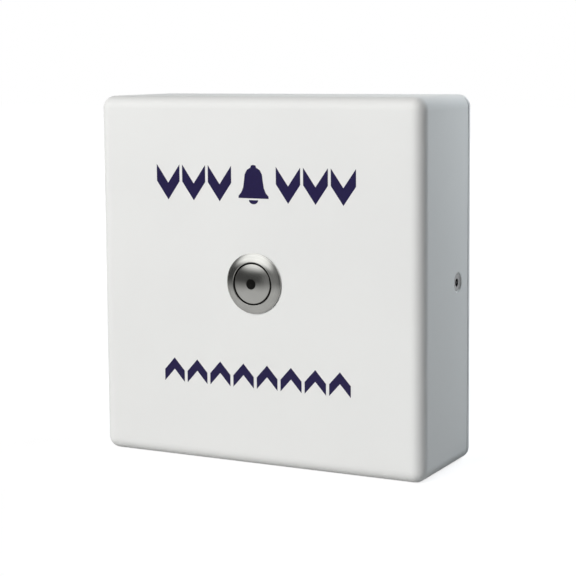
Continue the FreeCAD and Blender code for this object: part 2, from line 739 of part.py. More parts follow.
def make_button_cap():
    """The domed cap, hollow behind, with a hole in the middle for the lens."""
    hole = "(size.lens_radius + size.lens_clearance)"
    skirt = f"({CAP} - size.cap_skirt)"
    dome = f"(({CAP}^2 + size.cap_rise^2) / (2 * size.cap_rise))"
    hole_top = f"({dome} - sqrt({dome}^2 - {hole}^2) - size.cap_rise - size.cap_rim)"
    corners = [
        (hole, hole_top),
        (CAP, "-size.cap_rim"),
        (CAP, SHOULDER),
        (skirt, SHOULDER),
        (skirt, "size.cap_seat"),
        (hole, "size.cap_seat"),
    ]
    body = lathe("button_cap", corners, {0: dome})
    rim = number_of(f"-{FACE} - size.cap_rim")
    round_edges(body, "size.cap_rim_round", lambda edge, mid: abs(mid.y - rim) < PLANE_TOLERANCE)
    keep(body)


def make_button_lens():
    """The dark dot in the middle of the cap, resting on the plunger."""
    edge_level = "-(size.cap_rim + size.cap_rise)"
    crown = "-(size.cap_rim + size.cap_rise + size.lens_proud)"
    bow = "(size.lens_radius^2 + size.lens_proud^2) / (2 * size.lens_proud)"
    edge = "size.lens_radius"
    corners = [("0", crown), (edge, edge_level), (edge, LENS_SEAT), ("0", LENS_SEAT)]
    keep(lathe("button_lens", corners, {0: bow}))


def make_plunger():
    """The moving core: boss in the cap, flange under the lip, stem through the guide washer."""
    boss = f"({CAP} - size.cap_skirt - size.lens_clearance)"
    bore = "(size.lamp_radius + size.lamp_clearance)"
    bore_end = f"({LENS_SEAT} + size.lamp_clearance + size.lamp_length)"
    corners = [
        (bore, LENS_SEAT),
        (boss, LENS_SEAT),
        (boss, SHOULDER),
        (PLUNGER, SHOULDER),
        (PLUNGER, SPRING_TOP),
        ("size.stem_radius", SPRING_TOP),
        ("size.stem_radius", BRIDGE_TOP),
        ("0", BRIDGE_TOP),
        ("0", bore_end),
        (bore, bore_end),
    ]
    keep(lathe("button_plunger", corners))


def make_button_lamp():
    """A round-nosed lamp in the plunger, behind the lens."""
    nose = f"({LENS_SEAT} + size.lamp_clearance)"
    shoulder = f"({nose} + size.lamp_radius)"
    end = f"({nose} + size.lamp_length)"
    corners = [("0", nose), ("size.lamp_radius", shoulder), ("size.lamp_radius", end), ("0", end)]
    keep(lathe("button_lamp", corners, {0: "size.lamp_radius"}))


def make_return_spring():
    """Pushes the plunger out against the lip; its other end stands on the guide washer."""
    body = new_body("return_spring")
    sketch = sketch_on(body, "XY_Plane", up="-size.box_depth")
    wire = "size.spring_wire_radius"
    circle(sketch, wire, "size.spring_radius", f"({SPRING_TOP} + {wire})")
    coil = body.newObject("PartDesign::AdditiveHelix", "coil")
    coil.Profile = sketch
    coil.ReferenceAxis = (sketch, ["V_Axis"])
    coil.Mode = "height-turns-angle"
    coil.setExpression("Height", "size.spring_room - 2 * size.spring_wire_radius")
    coil.setExpression("Turns", "size.spring_turns")
    doc.recompute()
    keep(body)


def make_guide_washer():
    hole = "(size.stem_radius + size.stem_clearance)"
    corners = [(hole, GUIDE_TOP), (BLOCK, GUIDE_TOP), (BLOCK, BLOCK_TOP), (hole, BLOCK_TOP)]
    keep(lathe("guide_washer", corners))


def make_contact_bridge():
    length, width, thickness = "size.bridge_length", "size.bridge_width", "size.bridge_thickness"
    keep(block("contact_bridge", length, thickness, width, "0", f"{FACE} - {BRIDGE_TOP}", "0"))


def blade_places():
    """Across, up and inner end of the terminals: the switch pair at the sides, the lamp pair up and down."""
    near, far = "size.blade_pitch / 2", "size.blade_pitch * 1.5"
    return [
        ("-" + far, "0", CONTACT_TOP),
        ("-" + near, "size.blade_spread", CAVITY_FLOOR),
        (near, "-size.blade_spread", CAVITY_FLOOR),
        (far, "0", CONTACT_TOP),
    ]


def make_contact_block():
    """The cup that closes the barrel and holds the terminals."""
    cavity = f"({BLOCK} - size.block_wall)"
    flange = "(size.barrel_radius - size.block_clearance)"
    corners = [
        (cavity, BLOCK_TOP),
        (BLOCK, BLOCK_TOP),
        (BLOCK, "size.barrel_length"),
        (flange, "size.barrel_length"),
        (flange, BLOCK_END),
        ("0", BLOCK_END),
        ("0", CAVITY_FLOOR),
        (cavity, CAVITY_FLOOR),
    ]
    body = lathe("contact_block", corners)
    sketch = sketch_on(body, "XZ_Plane", offset=f"{FACE} - {BLOCK_END}")
    for across, up, _ in blade_places():
        width = "(size.blade_width + 2 * size.blade_clearance)"
        height = "(size.blade_thickness + 2 * size.blade_clearance)"
        rectangle(sketch, width, height, across, up)
    cut(body, sketch, "size.block_floor", reverse=True)
    keep(body)


def make_terminals():
    blades = []
    for count, (across, up, top) in enumerate(blade_places(), 1):
        name = f"blade_{count}"
        out, depth = f"{FACE} - {top}", f"{BLADE_END} - {top}"
        blades.append(block(name, "size.blade_width", depth, "size.blade_thickness", across, out, up))
    group("button_terminals", blades)


# the circuit board and what it carries


def make_board():
    body = new_body("circuit_board")
    sketch = sketch_on(body, "XZ_Plane", offset=BOARD_FRONT)
    corners = [("-" + BOARD_SIDE, BOARD_BOTTOM), (BOARD_SIDE, BOARD_BOTTOM)]
    corners += [(BOARD_SIDE, BOARD_TOP), ("-" + BOARD_SIDE, BOARD_TOP)]
    outline(sketch, corners)
    for across, up in boss_places():
        circle(sketch, "size.board_screw_radius + size.screw_clearance", across, up)
    pad(body, sketch, "size.board_thickness", reverse=True)
    keep(body)


def make_board_screw(across, up, count):
    """A pan-head screw with a cross recess, its head on the rear of the board."""
    body = new_body(f"board_screw_{count}")
    sketch = sketch_on(body, "XY_Plane", up=f"-{BOARD_REAR}")
    head, shank = "size.board_screw_head_radius", "size.board_screw_radius"
    shoulder = "size.board_screw_head_height / 2"
    corners = [("0", "-size.board_screw_length"), (shank, "-size.board_screw_length"), (shank, "0")]
    corners += [(head, "0"), (head, shoulder), ("0", "size.board_screw_head_height")]
    dome = f"(({head}^2 + ({shoulder})^2) / (2 * {shoulder}))"
    outline(sketch, corners, {4: dome})
    turn(body, sketch)
    sketch = sketch_on(body, "XZ_Plane", offset=f"{BOARD_REAR} - size.board_screw_head_height")
    cross(sketch, "size.cross_width / 2", "size.board_screw_head_radius / 2")
    cut(body, sketch, "size.cross_depth", reverse=True)
    body.setExpression("Placement.Base.x", across)
    body.setExpression("Placement.Base.z", up)
    doc.recompute()
    return body


def cross(sketch, half, reach):
    """The twelve corners of a cross."""
    quarter = [(reach, half), (half, half), (half, reach)]
    signs = [("", ""), ("-", ""), ("-", "-"), ("", "-")]
    corners = []
    for place, (first, second) in enumerate(signs):
        turned = quarter if place % 2 == 0 else quarter[::-1]
        corners += [(first + across, second + up) for across, up in turned]
    outline(sketch, corners)


def make_board_screws():
    places = enumerate(boss_places(), 1)
    group("board_screws", [make_board_screw(across, up, count) for count, (across, up) in places])


JACK_ACROSS = f"({BOARD_SIDE} - size.end_margin - size.jack_width / 2)"
JACK_TOP = f"({BOARD_TOP} + size.jack_overhang)"
JACK_UP = f"({JACK_TOP} - size.jack_length / 2)"
JACK_SKIN = "(size.shield_thickness + size.shield_clearance)"
SOCKET_OUT = f"({BOARD_REAR} - size.socket_floor)"


def make_jack_shield():
    """The bent metal sleeve round the network socket, open above."""
    body = board_block(
        "jack_shield", "size.jack_width", "size.jack_length", "size.jack_height", JACK_ACROSS, JACK_UP
    )
    sketch = sketch_on(body, "XY_Plane", offset=JACK_TOP)
    low, high = f"-{BOARD_REAR}", f"size.jack_height - {BOARD_REAR} - size.shield_thickness"
    left = f"({JACK_ACROSS} - size.jack_width / 2 + size.shield_thickness)"
    right = f"({JACK_ACROSS} + size.jack_width / 2 - size.shield_thickness)"
    outline(sketch, [(left, low), (right, low), (right, high), (left, high)])
    cut(body, sketch, "size.jack_length - size.shield_thickness")
    keep(body)


def make_jack_body():
    """The moulding of the network socket, with the shape of the plug cut into it from above."""
    body = new_body("jack_body")
    skin = f"2 * {JACK_SKIN}"
    sketch = sketch_on(body, "XZ_Plane", offset=BOARD_REAR)
    up = f"({JACK_UP} + {JACK_SKIN} / 2)"
    rectangle(sketch, f"(size.jack_width - {skin})", f"(size.jack_length - {JACK_SKIN})", JACK_ACROSS, up)
    pad(body, sketch, f"size.jack_height - {JACK_SKIN}", reverse=True)
    sketch = sketch_on(body, "XY_Plane", offset=JACK_TOP)
    near, far = f"-{SOCKET_OUT}", f"size.socket_height - {SOCKET_OUT}"
    notch = f"({far} + size.latch_height)"
    wide, slim = "size.socket_width / 2", "size.latch_width / 2"
    corners = [
        (f"{JACK_ACROSS} - {wide}", near),
        (f"{JACK_ACROSS} + {wide}", near),
        (f"{JACK_ACROSS} + {wide}", far),
        (f"{JACK_ACROSS} + {slim}", far),
        (f"{JACK_ACROSS} + {slim}", notch),
        (f"{JACK_ACROSS} - {slim}", notch),
        (f"{JACK_ACROSS} - {slim}", far),
        (f"{JACK_ACROSS} - {wide}", far),
    ]
    outline(sketch, corners)
    cut(body, sketch, "size.socket_depth")
    keep(body)


def make_jack_contacts():
    """Eight contact springs along the board side of the socket."""
    made = []
    for count in range(SOCKET_CONTACTS):
        across = f"{JACK_ACROSS} + {count - (SOCKET_CONTACTS - 1) / 2} * size.contact_pitch"
        up = f"{JACK_TOP} - size.socket_depth + size.contact_length / 2"
        name = f"jack_contact_{count + 1}"
        wire = "size.contact_wire"
        made.append(block(name, wire, wire, "size.contact_length", across, SOCKET_OUT, up))
    group("jack_contacts", made)


def make_chips():
    chip_up = f"({BOARD_TOP} - 2 * size.row_gap - size.header_length - size.processor_side / 2)"
    side = "size.processor_side"
    keep(board_block("processor", side, side, "size.processor_height", "0", chip_up))
    across = "-(size.processor_side / 2 + size.chip_gap + size.memory_width / 2)"
    width, length = "size.memory_width", "size.memory_length"
    keep(board_block("memory_chip", width, length, "size.memory_height", across, chip_up))


def make_power_parts():
    up = f"{LOW_ROW} + size.transformer_length / 2"
    keep(
        board_block(
            "network_transformer",
            "size.transformer_width",
            "size.transformer_length",
            "size.transformer_height",
            JACK_ACROSS,
            up,
        )
    )
    side = "size.inductor_side"
    up = f"{LOW_ROW} + {side} / 2"
    keep(board_block("power_inductor", side, side, "size.inductor_height", "size.inductor_offset", up))
    up = f"{LOW_ROW} + size.crystal_length / 2"
    keep(board_block("crystal", "size.crystal_width", "size.crystal_length", "size.crystal_height", "0", up))


def make_capacitor(count):
    """An electrolytic can standing on the board, with its crimp near the foot."""
    body = new_body(f"capacitor_{count + 1}")
    sketch = sketch_on(body, "XY_Plane", up=f"-{BOARD_REAR}")
    can, neck = "size.capacitor_radius", "(size.capacitor_radius - size.part_round)"
    low = "(size.crimp_height - size.crimp_width / 2)"
    high = "(size.crimp_height + size.crimp_width / 2)"
    corners = [("0", "0"), (can, "0"), (can, low), (neck, "size.crimp_height"), (can, high)]
    corners += [(can, "size.capacitor_height"), ("0", "size.capacitor_height")]
    outline(sketch, corners)
    turn(body, sketch)
    end = number_of(f"size.capacitor_height - {BOARD_REAR}")
    round_edges(body, "size.part_round", lambda edge, mid: abs(mid.y - end) < PLANE_TOLERANCE)
    across = f"size.can_margin - {BOARD_SIDE} + {count} * size.capacitor_pitch"
    body.setExpression("Placement.Base.x", across)
    body.setExpression("Placement.Base.z", f"{LOW_ROW} + size.capacitor_radius")
    doc.recompute()
    return body


BLOCK_WIDTH = f"({POLES} * size.pole_pitch)"
BLOCK_ACROSS = f"(size.end_margin - {BOARD_SIDE} + {BLOCK_WIDTH} / 2)"
BLOCK_UP = f"({BOARD_TOP} - size.block_length / 2)"


def pole_places():
    return [f"({BLOCK_ACROSS} + {count - (POLES - 1) / 2} * size.pole_pitch)" for count in range(POLES)]


def make_terminal_block():
    """The block for the door contact wires: holes above for the wires, holes behind for the screws."""
    body = board_block(
        "terminal_block", BLOCK_WIDTH, "size.block_length", "size.block_height", BLOCK_ACROSS, BLOCK_UP
    )
    sketch = sketch_on(body, "XZ_Plane", offset=f"{BOARD_REAR} - size.block_height")
    for across in pole_places():
        circle(sketch, "size.clamp_radius + size.clamp_clearance", across, BLOCK_UP)
    cut(body, sketch, "size.clamp_sink + size.clamp_height", reverse=True)
    sketch = sketch_on(body, "XY_Plane", offset=BOARD_TOP)
    for across in pole_places():
        circle(sketch, "size.wire_hole_radius", across, f"(size.wire_hole_height - {BOARD_REAR})")
    cut(body, sketch, "size.wire_hole_depth")
    keep(body)


def make_clamp_screw(across, count):
    body = new_body(f"clamp_screw_{count}")
    top = f"({BOARD_REAR} - size.block_height + size.clamp_sink)"
    sketch = sketch_on(body, "XZ_Plane", offset=top)
    circle(sketch, "size.clamp_radius")
    pad(body, sketch, "size.clamp_height")
    sketch = sketch_on(body, "XZ_Plane", offset=top)
    rectangle(sketch, "(3 * size.clamp_radius)", "size.clamp_slot_width")
    cut(body, sketch, "size.clamp_slot_depth", reverse=True)
    body.setExpression("Placement.Base.x", across)
    body.setExpression("Placement.Base.z", BLOCK_UP)
    doc.recompute()
    return body


def make_relay():
    up = f"{BOARD_TOP} - size.block_length - size.row_gap - size.relay_length / 2"
    keep(board_block("relay", "size.relay_width", "size.relay_length", "size.relay_height", BLOCK_ACROSS, up))


HEADER_UP = f"({BOARD_TOP} - size.row_gap - size.header_length / 2)"
PLUG_OUT = f"({BOARD_REAR} - size.header_floor)"
PLUG_END = f"({PLUG_OUT} - size.plug_height)"


def make_button_connector():
    """The fixed half on the board, open behind, and the loose half pushed into it."""
    body = new_body("button_header")
    sketch = sketch_on(body, "XZ_Plane", offset=BOARD_REAR)
    rectangle(sketch, "size.header_width", "size.header_length", "0", HEADER_UP)
    pad(body, sketch, "size.header_height", reverse=True)
    sketch = sketch_on(body, "XZ_Plane", offset=f"{BOARD_REAR} - size.header_height")
    width = "(size.header_width - 2 * size.header_wall)"
    length = "(size.header_length - 2 * size.header_wall)"
    rectangle(sketch, width, length, "0", HEADER_UP)
    cut(body, sketch, "size.header_height - size.header_floor", reverse=True)
    keep(body)
    width = f"({width} - 2 * size.plug_clearance)"
    length = f"({length} - 2 * size.plug_clearance)"
    keep(block("button_plug", width, "size.plug_height", length, "0", PLUG_OUT, HEADER_UP))


def make_button_wire(across, up, count):
    """One wire: out of the plug, over to the terminal and onto its tip."""
    body = new_body(f"button_wire_{count}")
    tip = f"({FACE} - {BLADE_END})"
    low = f"({tip} - size.wire_drop)"
    turned = f"({low} + size.wire_bend)"
    trail = sketch_on(body, "YZ_Plane", offset=across)
    corners = [
        ("-" + PLUG_END, HEADER_UP),
        ("-" + turned, HEADER_UP),
        ("-" + low, f"{HEADER_UP} + size.wire_bend"),
        ("-" + low, f"{up} - size.wire_bend"),
        ("-" + turned, up),
        ("-" + tip, up),
    ]
    outline(trail, corners, {1: "size.wire_bend", 3: "size.wire_bend"}, closed=False)
    profile = sketch_on(body, "XZ_Plane", offset=PLUG_END)
    circle(profile, "size.wire_radius", across, HEADER_UP)
    doc.recompute()
    pipe = body.newObject("PartDesign::AdditivePipe", body.Name + "_pipe")
    pipe.Profile = profile
    pipe.Spine = (trail, [])
    doc.recompute()
    return body


def make_connections():
    group("capacitors", [make_capacitor(count) for count in range(CAPACITORS)])
    places = enumerate(pole_places(), 1)
    group("terminal_screws", [make_clamp_screw(across, count) for count, across in places])
    places = enumerate(blade_places(), 1)
    group("button_wires", [make_button_wire(across, up, count) for count, (across, up, _) in places])


def check_all():
    """Stops if an object failed to build or a node isn't made of sound solids."""
    for item in doc.Objects:
        if "Invalid" in item.State or "Error" in item.State:
            raise RuntimeError(f"{item.Label} failed: {item.State}")
    for piece in nodes:
        shape = piece.Shape
        if shape.isNull() or not shape.isValid() or not shape.Solids:
            raise RuntimeError(f"{piece.Label} is not a sound solid")


def export_all():
    os.makedirs("parts", exist_ok=True)
    for piece in nodes:
        piece.Shape.exportStep(f"parts/{piece.Label}.step")
        print(piece.Label, len(piece.Shape.Solids), round(piece.Shape.Volume, 1))


BUILDERS = [
    make_cover,
    make_wall_plate,
    make_side_fixings,
    make_button_housing,
    make_button_seal,
    make_ring_nut,
    make_button_cap,
    make_button_lens,
    make_plunger,
    make_button_lamp,
    make_return_spring,
    make_guide_washer,
    make_contact_bridge,
    make_contact_block,
    make_terminals,
    make_board,
    make_board_screws,
    make_jack_shield,
    make_jack_body,
    make_jack_contacts,
    make_chips,
    make_power_parts,
    make_terminal_block,
    make_relay,
    make_button_connector,
    make_connections,
]

for build in BUILDERS:
    build()
doc.recompute()
check_all()
export_all()
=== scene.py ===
import math

import bmesh
import bpy
from mathutils import Matrix, Vector


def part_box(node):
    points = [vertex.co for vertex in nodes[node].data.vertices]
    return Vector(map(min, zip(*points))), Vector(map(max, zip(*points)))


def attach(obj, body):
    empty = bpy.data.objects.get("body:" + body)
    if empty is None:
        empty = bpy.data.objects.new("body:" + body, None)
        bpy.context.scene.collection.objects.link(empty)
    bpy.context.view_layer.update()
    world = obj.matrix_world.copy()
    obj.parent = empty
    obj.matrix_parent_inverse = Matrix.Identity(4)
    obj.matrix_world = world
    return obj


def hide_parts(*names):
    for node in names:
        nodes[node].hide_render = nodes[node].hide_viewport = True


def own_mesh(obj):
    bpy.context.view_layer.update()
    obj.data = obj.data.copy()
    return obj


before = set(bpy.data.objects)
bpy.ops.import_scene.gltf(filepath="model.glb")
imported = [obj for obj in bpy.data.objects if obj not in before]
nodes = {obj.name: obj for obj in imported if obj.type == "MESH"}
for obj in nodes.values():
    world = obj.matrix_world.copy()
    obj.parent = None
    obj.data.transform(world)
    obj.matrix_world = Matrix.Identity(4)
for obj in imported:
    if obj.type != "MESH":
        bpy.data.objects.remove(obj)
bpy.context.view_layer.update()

mm = 0.001
print("frame loaded with", len(nodes), "nodes")

# read from the frame, in metres; the wall is y = 0 and the face looks along -Y
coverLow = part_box("front_cover")[0]
boardLow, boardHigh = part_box("circuit_board")
facePlane = coverLow.y
floorLevel = coverLow.z


# shader maths: a socket that can be used in plain expressions

class Wire:
    def __init__(self, finish, socket):
        self.finish = finish
        self.socket = socket

    def calc(self, operation, *values):
        return self.finish.add("Math", {"operation": operation}, dict(enumerate(values)))

    def __add__(self, other): return self.calc("ADD", self, other)
    def __radd__(self, other): return self.calc("ADD", other, self)
    def __sub__(self, other): return self.calc("SUBTRACT", self, other)
    def __rsub__(self, other): return self.calc("SUBTRACT", other, self)
    def __mul__(self, other): return self.calc("MULTIPLY", self, other)
    def __rmul__(self, other): return self.calc("MULTIPLY", other, self)
    def __truediv__(self, other): return self.calc("DIVIDE", self, other)
    def __rtruediv__(self, other): return self.calc("DIVIDE", other, self)
    def __pow__(self, other): return self.calc("POWER", self, other)
    def __rpow__(self, other): return self.calc("POWER", other, self)
    def __mod__(self, other): return self.calc("MODULO", self, other)
    def __rmod__(self, other): return self.calc("MODULO", other, self)
    def __gt__(self, other): return self.calc("GREATER_THAN", self, other)
    def __lt__(self, other): return self.calc("LESS_THAN", self, other)
    def __abs__(self): return self.calc("ABSOLUTE", self)


def larger(first, second):
    return first.calc("MAXIMUM", first, second)


def smaller(first, second):
    return first.calc("MINIMUM", first, second)


class Finish:
    # one node tree; add() makes any node, with its settings first and then its sockets
    def __init__(self, name, library="materials"):
        self.owner = getattr(bpy.data, library).new(name)
        self.owner.use_nodes = True
        self.tree = self.owner.node_tree
        self.tree.nodes.clear()

    def feed(self, socket, value):
        if isinstance(value, Wire):
            self.tree.links.new(value.socket, socket)
        elif isinstance(value, (tuple, list)) and len(value) == 3 and len(socket.default_value) == 4:
            socket.default_value = (*value, 1)
        else:
            socket.default_value = value

    def add(self, kind, settings=None, sockets=None, output=0):
        made = self.tree.nodes.new("ShaderNode" + kind)
        for name, value in (settings or {}).items():
            setattr(made, name, value)
        for name, value in (sockets or {}).items():
            self.feed(made.inputs[name], value)
        return Wire(self, made.outputs[output]) if len(made.outputs) else None

    def place(self):
        return self.add("TexCoord", output="Object")

    def split(self, vector):
        parted = self.add("SeparateXYZ", sockets={0: vector})
        return [Wire(self, output) for output in parted.socket.node.outputs]

    def noise(self, size, detail, rough=0.5):
        # size is the width of one blotch in metres
        return self.add("TexNoise", {"noise_dimensions": "3D"}, {
            "Vector": self.place(), "Scale": 1 / size, "Detail": detail, "Roughness": rough})

    def rings(self, size, slope, detail):
        # tool marks of a lathe about the button's axis; the slope carries them along its sides
        x, y, z = self.split(self.place())
        radius = (x * x + z * z) ** 0.5
        return self.add("TexNoise", {"noise_dimensions": "1D"}, {
            "W": (radius + y * slope) / size, "Scale": 1.0, "Detail": detail})

    def blend(self, amount, first, second):
        # sockets 0, 6 and 7 are the factor and the two colours, output 2 is the colour
        return self.add("Mix", {"data_type": "RGBA"}, {0: amount, 6: first, 7: second}, output=2)

    def within(self, value, low, high):
        # 0 below low, 1 above high, smooth between them
        return self.add("MapRange", {"interpolation_type": "SMOOTHSTEP"}, {
            "Value": value, "From Min": low, "From Max": high})

    def tint(self, pattern, settings, low=0.3, high=0.7):
        # from the colour to the other colour as the pattern rises
        return self.blend(self.within(pattern, low, high), settings["colour"], settings["otherColour"])

    def drift(self, value, pattern, amount):
        # the value, moved up and down by a pattern whose middle is one half
        return value + (pattern - 0.5) * amount

    def bump(self, height, strength, depth):
        return self.add("Bump", sockets={"Height": height, "Strength": strength, "Distance": depth})

    def surface(self, **sockets):
        # the closing shader; socket names are given with _ for spaces
        named = {name.replace("_", " "): value for name, value in sockets.items()}
        shader = self.add("BsdfPrincipled", sockets=named)
        self.add("OutputMaterial", sockets={"Surface": shader})
        return self.owner


def screenColour(red, green, blue):
    # a colour read off a screen, 0 to 255, as light
    return tuple(((v / 255 + 0.055) / 1.055) ** 2.4 if v > 10 else v / 255 / 12.92
                 for v in (red, green, blue))


# finishes

def powderCoat(name, settings):
    coat = Finish(name)
    peel = coat.noise(settings["peelSize"], detail=2.0)
    cloud = coat.noise(settings["cloudSize"], detail=1.0)
    return coat.surface(
        Base_Color=coat.tint(cloud, settings), IOR=settings["ior"],
        Roughness=coat.drift(settings["roughness"], cloud, settings["roughnessDrift"]),
        Normal=coat.bump(peel, settings["peelStrength"], settings["peelDepth"]))


coverPaint = powderCoat("coverPaint", {
    "colour": (0.800, 0.805, 0.785), "otherColour": (0.785, 0.790, 0.772), "cloudSize": 45 * mm,
    "roughness": 0.5, "roughnessDrift": 0.06, "ior": 1.5,
    "peelSize": 1.1 * mm, "peelStrength": 0.22, "peelDepth": 0.02 * mm})
# the wall plate takes the cover's paint made lighter: a painted highlight for the light strip along its rear
# edge
highlightedPlatePaint = powderCoat("highlightedPlatePaint", {
    "colour": (0.87, 0.875, 0.865), "otherColour": (0.85, 0.855, 0.845), "cloudSize": 45 * mm,
    "roughness": 0.48, "roughnessDrift": 0.06, "ior": 1.5,
    "peelSize": 1.0 * mm, "peelStrength": 0.25, "peelDepth": 0.02 * mm})


def turnedSteel(name, settings):
    # fine rings give the sheen, and rings turningWidth times as wide the tone
    steel = Finish(name)
    ring = steel.rings(settings["ringSize"], settings["ringSlope"], detail=3.0)
    turning = steel.rings(settings["ringSize"] * settings["turningWidth"], settings["ringSlope"], detail=2.0)
    cloud = steel.noise(settings["cloudSize"], detail=2.0)
    tone = cloud * settings["cloudShare"] + turning * (1 - settings["cloudShare"])
    rough = steel.drift(settings["roughness"], ring, settings["ringRoughness"])
    return steel.surface(
        Base_Color=steel.tint(tone, settings), Metallic=1.0,
        Roughness=steel.drift(rough, turning, settings["turningRoughness"]),
        Normal=steel.bump(ring, settings["ringStrength"], settings["ringDepth"]))


stainless = turnedSteel("stainless", {
    "colour": (0.62, 0.62, 0.59), "otherColour": (0.545, 0.545, 0.52), "cloudSize": 4 * mm, "cloudShare": 0.4,
    "roughness": 0.15, "ringRoughness": 0.08, "turningRoughness": 0.05,
    "ringSize": 0.09 * mm, "ringSlope": 0.7, "turningWidth": 4, "ringStrength": 0.4, "ringDepth": 0.006 * mm})


# bumpShare is the depth of the bumps as a share of the size of their blotches
plating = {"tintLow": 0.35, "tintHigh": 0.65, "roughnessDrift": 0.1, "bumpStrength": 0.12, "bumpShare": 0.012}


def platedSteel(name, settings):
    steel = Finish(name)
    cloud = steel.noise(settings["cloudSize"], detail=4.0, rough=0.6)
    return steel.surface(
        Base_Color=steel.tint(cloud, settings, plating["tintLow"], plating["tintHigh"]), Metallic=1.0,
        Roughness=steel.drift(settings["roughness"], cloud, plating["roughnessDrift"]),
        Normal=steel.bump(cloud, plating["bumpStrength"], settings["cloudSize"] * plating["bumpShare"]))


zincPlate = platedSteel("zincPlate", {
    "colour": (0.55, 0.56, 0.575), "otherColour": (0.51, 0.52, 0.54),
    "roughness": 0.38, "cloudSize": 1.5 * mm})
wireSteel = platedSteel("wireSteel", {
    "colour": (0.40, 0.40, 0.41), "otherColour": (0.33, 0.33, 0.34),
    "roughness": 0.3, "cloudSize": 0.6 * mm})
contactMetal = platedSteel("contactMetal", {
    "colour": (0.75, 0.55, 0.22), "otherColour": (0.68, 0.48, 0.18),
    "roughness": 0.26, "cloudSize": 0.8 * mm})
canMetal = platedSteel("canMetal", {
    "colour": (0.72, 0.73, 0.74), "otherColour": (0.66, 0.67, 0.68),
    "roughness": 0.3, "cloudSize": 2 * mm})
solderTin = platedSteel("solderTin", {
    "colour": (0.66, 0.67, 0.68), "otherColour": (0.56, 0.57, 0.58),
    "roughness": 0.22, "cloudSize": 0.5 * mm})


def screwSteel(name, settings):
    # satin heads, with painted shade in the sockets: they are near-black and not metallic inside. level is
    # how far a point lies above the head's face
    steel = Finish(name)
    x, y, z = steel.split(steel.place())
    cloud = steel.noise(settings["cloudSize"], detail=3.0)
    level = larger(abs(x) - settings["headX"], abs(z) - settings["headZ"])
    aside = smaller(x * x, z * z)
    radius = (aside + (y - settings["headY"]) * (y - settings["headY"])) ** 0.5
    deep = steel.within(0 - level, settings["socketFrom"], settings["socketTo"])
    # socketShade is painted shade: the deep part of each socket and the pin take the dark colour
    socketShade = larger((radius < settings["socketRadius"]) * deep, radius < settings["pinRadius"])
    return steel.surface(
        Base_Color=steel.blend(socketShade, steel.tint(cloud, settings), settings["socketShadeColour"]),
        Metallic=1.0 - socketShade,
        Roughness=steel.drift(settings["roughness"], cloud, settings["roughnessDrift"]),
        Normal=steel.bump(cloud, settings["bumpStrength"], settings["cloudSize"] * settings["bumpShare"]))


screwLow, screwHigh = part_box("cover_screws")
screwMetal = screwSteel("screwMetal", {
    "colour": (0.46, 0.47, 0.48), "otherColour": (0.38, 0.39, 0.40), "socketShadeColour": (0.012, 0.013, 0.015),
    "cloudSize": 1.2 * mm, "roughness": 0.45, "roughnessDrift": 0.1, "bumpStrength": 0.2, "bumpShare": 0.02,
    "headX": screwHigh.x, "headZ": screwHigh.z, "headY": (screwLow.y + screwHigh.y) / 2,
    "socketRadius": 1.58 * mm, "pinRadius": 0.7 * mm, "socketFrom": 0.05 * mm, "socketTo": 0.6 * mm})


def sleevedCan(name, settings):
    # a printed sleeve with one pale stripe, and bare aluminium with a crossed vent on top
    can = Finish(name)
    x, y, z = can.split(can.place())
    across = (x - settings["firstX"]) % settings["pitch"] - settings["radius"]
    up = z - settings["middleZ"]
    radius = (across * across + up * up) ** 0.5
    top = y > settings["topY"] - settings["topDepth"]
    bare = top * (radius < settings["radius"] - settings["sleeveLap"])
    vent = can.within(smaller(abs(across), abs(up)), settings["ventFar"], settings["ventNear"])
    stripe = (up > settings["radius"] * settings["stripeFrom"]) * (1 - bare)
    grain = can.noise(settings["grainSize"], detail=2.0)
    sleeve = can.blend(stripe, settings["sleeve"], settings["stripe"])
    height = vent * bare * -1.0 + grain * settings["grainShare"]
    return can.surface(
        Base_Color=can.blend(bare, sleeve, settings["metal"]), Metallic=bare,
        Roughness=can.drift(settings["roughness"], grain, settings["roughnessDrift"]),
        Normal=can.bump(height, settings["bumpStrength"], settings["ventDepth"]))


canLow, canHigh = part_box("capacitors")
canRadius = (canHigh.z - canLow.z) / 2
canSleeves = sleevedCan("canSleeves", {
    "firstX": canLow.x, "pitch": (canHigh.x - canLow.x - 2 * canRadius) / 2, "radius": canRadius,
    "middleZ": (canLow.z + canHigh.z) / 2, "topY": canHigh.y, "topDepth": 0.1 * mm, "sleeveLap": 0.7 * mm,
    "ventFar": 0.3 * mm, "ventNear": 0.1 * mm, "ventDepth": 0.15 * mm, "bumpStrength": 0.6,
    "stripeFrom": 0.72, "grainSize": 0.2 * mm, "grainShare": 0.05, "roughness": 0.3, "roughnessDrift": 0.1,
    "sleeve": (0.018, 0.022, 0.05), "stripe": (0.42, 0.46, 0.52), "metal": (0.74, 0.75, 0.76)})


def wireCovers(name, settings):
    # four wires side by side; each step in x is the middle of the space between two
    cover = Finish(name)
    x = cover.split(cover.place())[0]
    colour = settings["colours"][0]
    for step, after in zip(settings["steps"], settings["colours"][1:]):
        colour = cover.blend(x > step, colour, after)
    grain = cover.noise(settings["grainSize"], detail=2.0)
    dust = cover.within(grain, settings["dustLow"], settings["dustHigh"]) * settings["dustShare"]
    return cover.surface(
        Base_Color=cover.blend(dust, colour, settings["dust"]),
        Roughness=cover.drift(settings["roughness"], grain, settings["roughnessDrift"]),
        Normal=cover.bump(grain, settings["bumpStrength"], settings["bumpDepth"]))


wireCovering = wireCovers("wireCovering", {
    "colours": ((0.42, 0.02, 0.015), (0.012, 0.012, 0.013), (0.55, 0.40, 0.02), (0.02, 0.09, 0.36)),
    "steps": (-2.5 * mm, 0.0, 2.5 * mm), "dust": (0.4, 0.38, 0.35),
    "dustLow": 0.2, "dustHigh": 0.8, "dustShare": 0.15, "grainSize": 0.3 * mm,
    "roughness": 0.42, "roughnessDrift": 0.1, "bumpStrength": 0.2, "bumpDepth": 0.015 * mm})


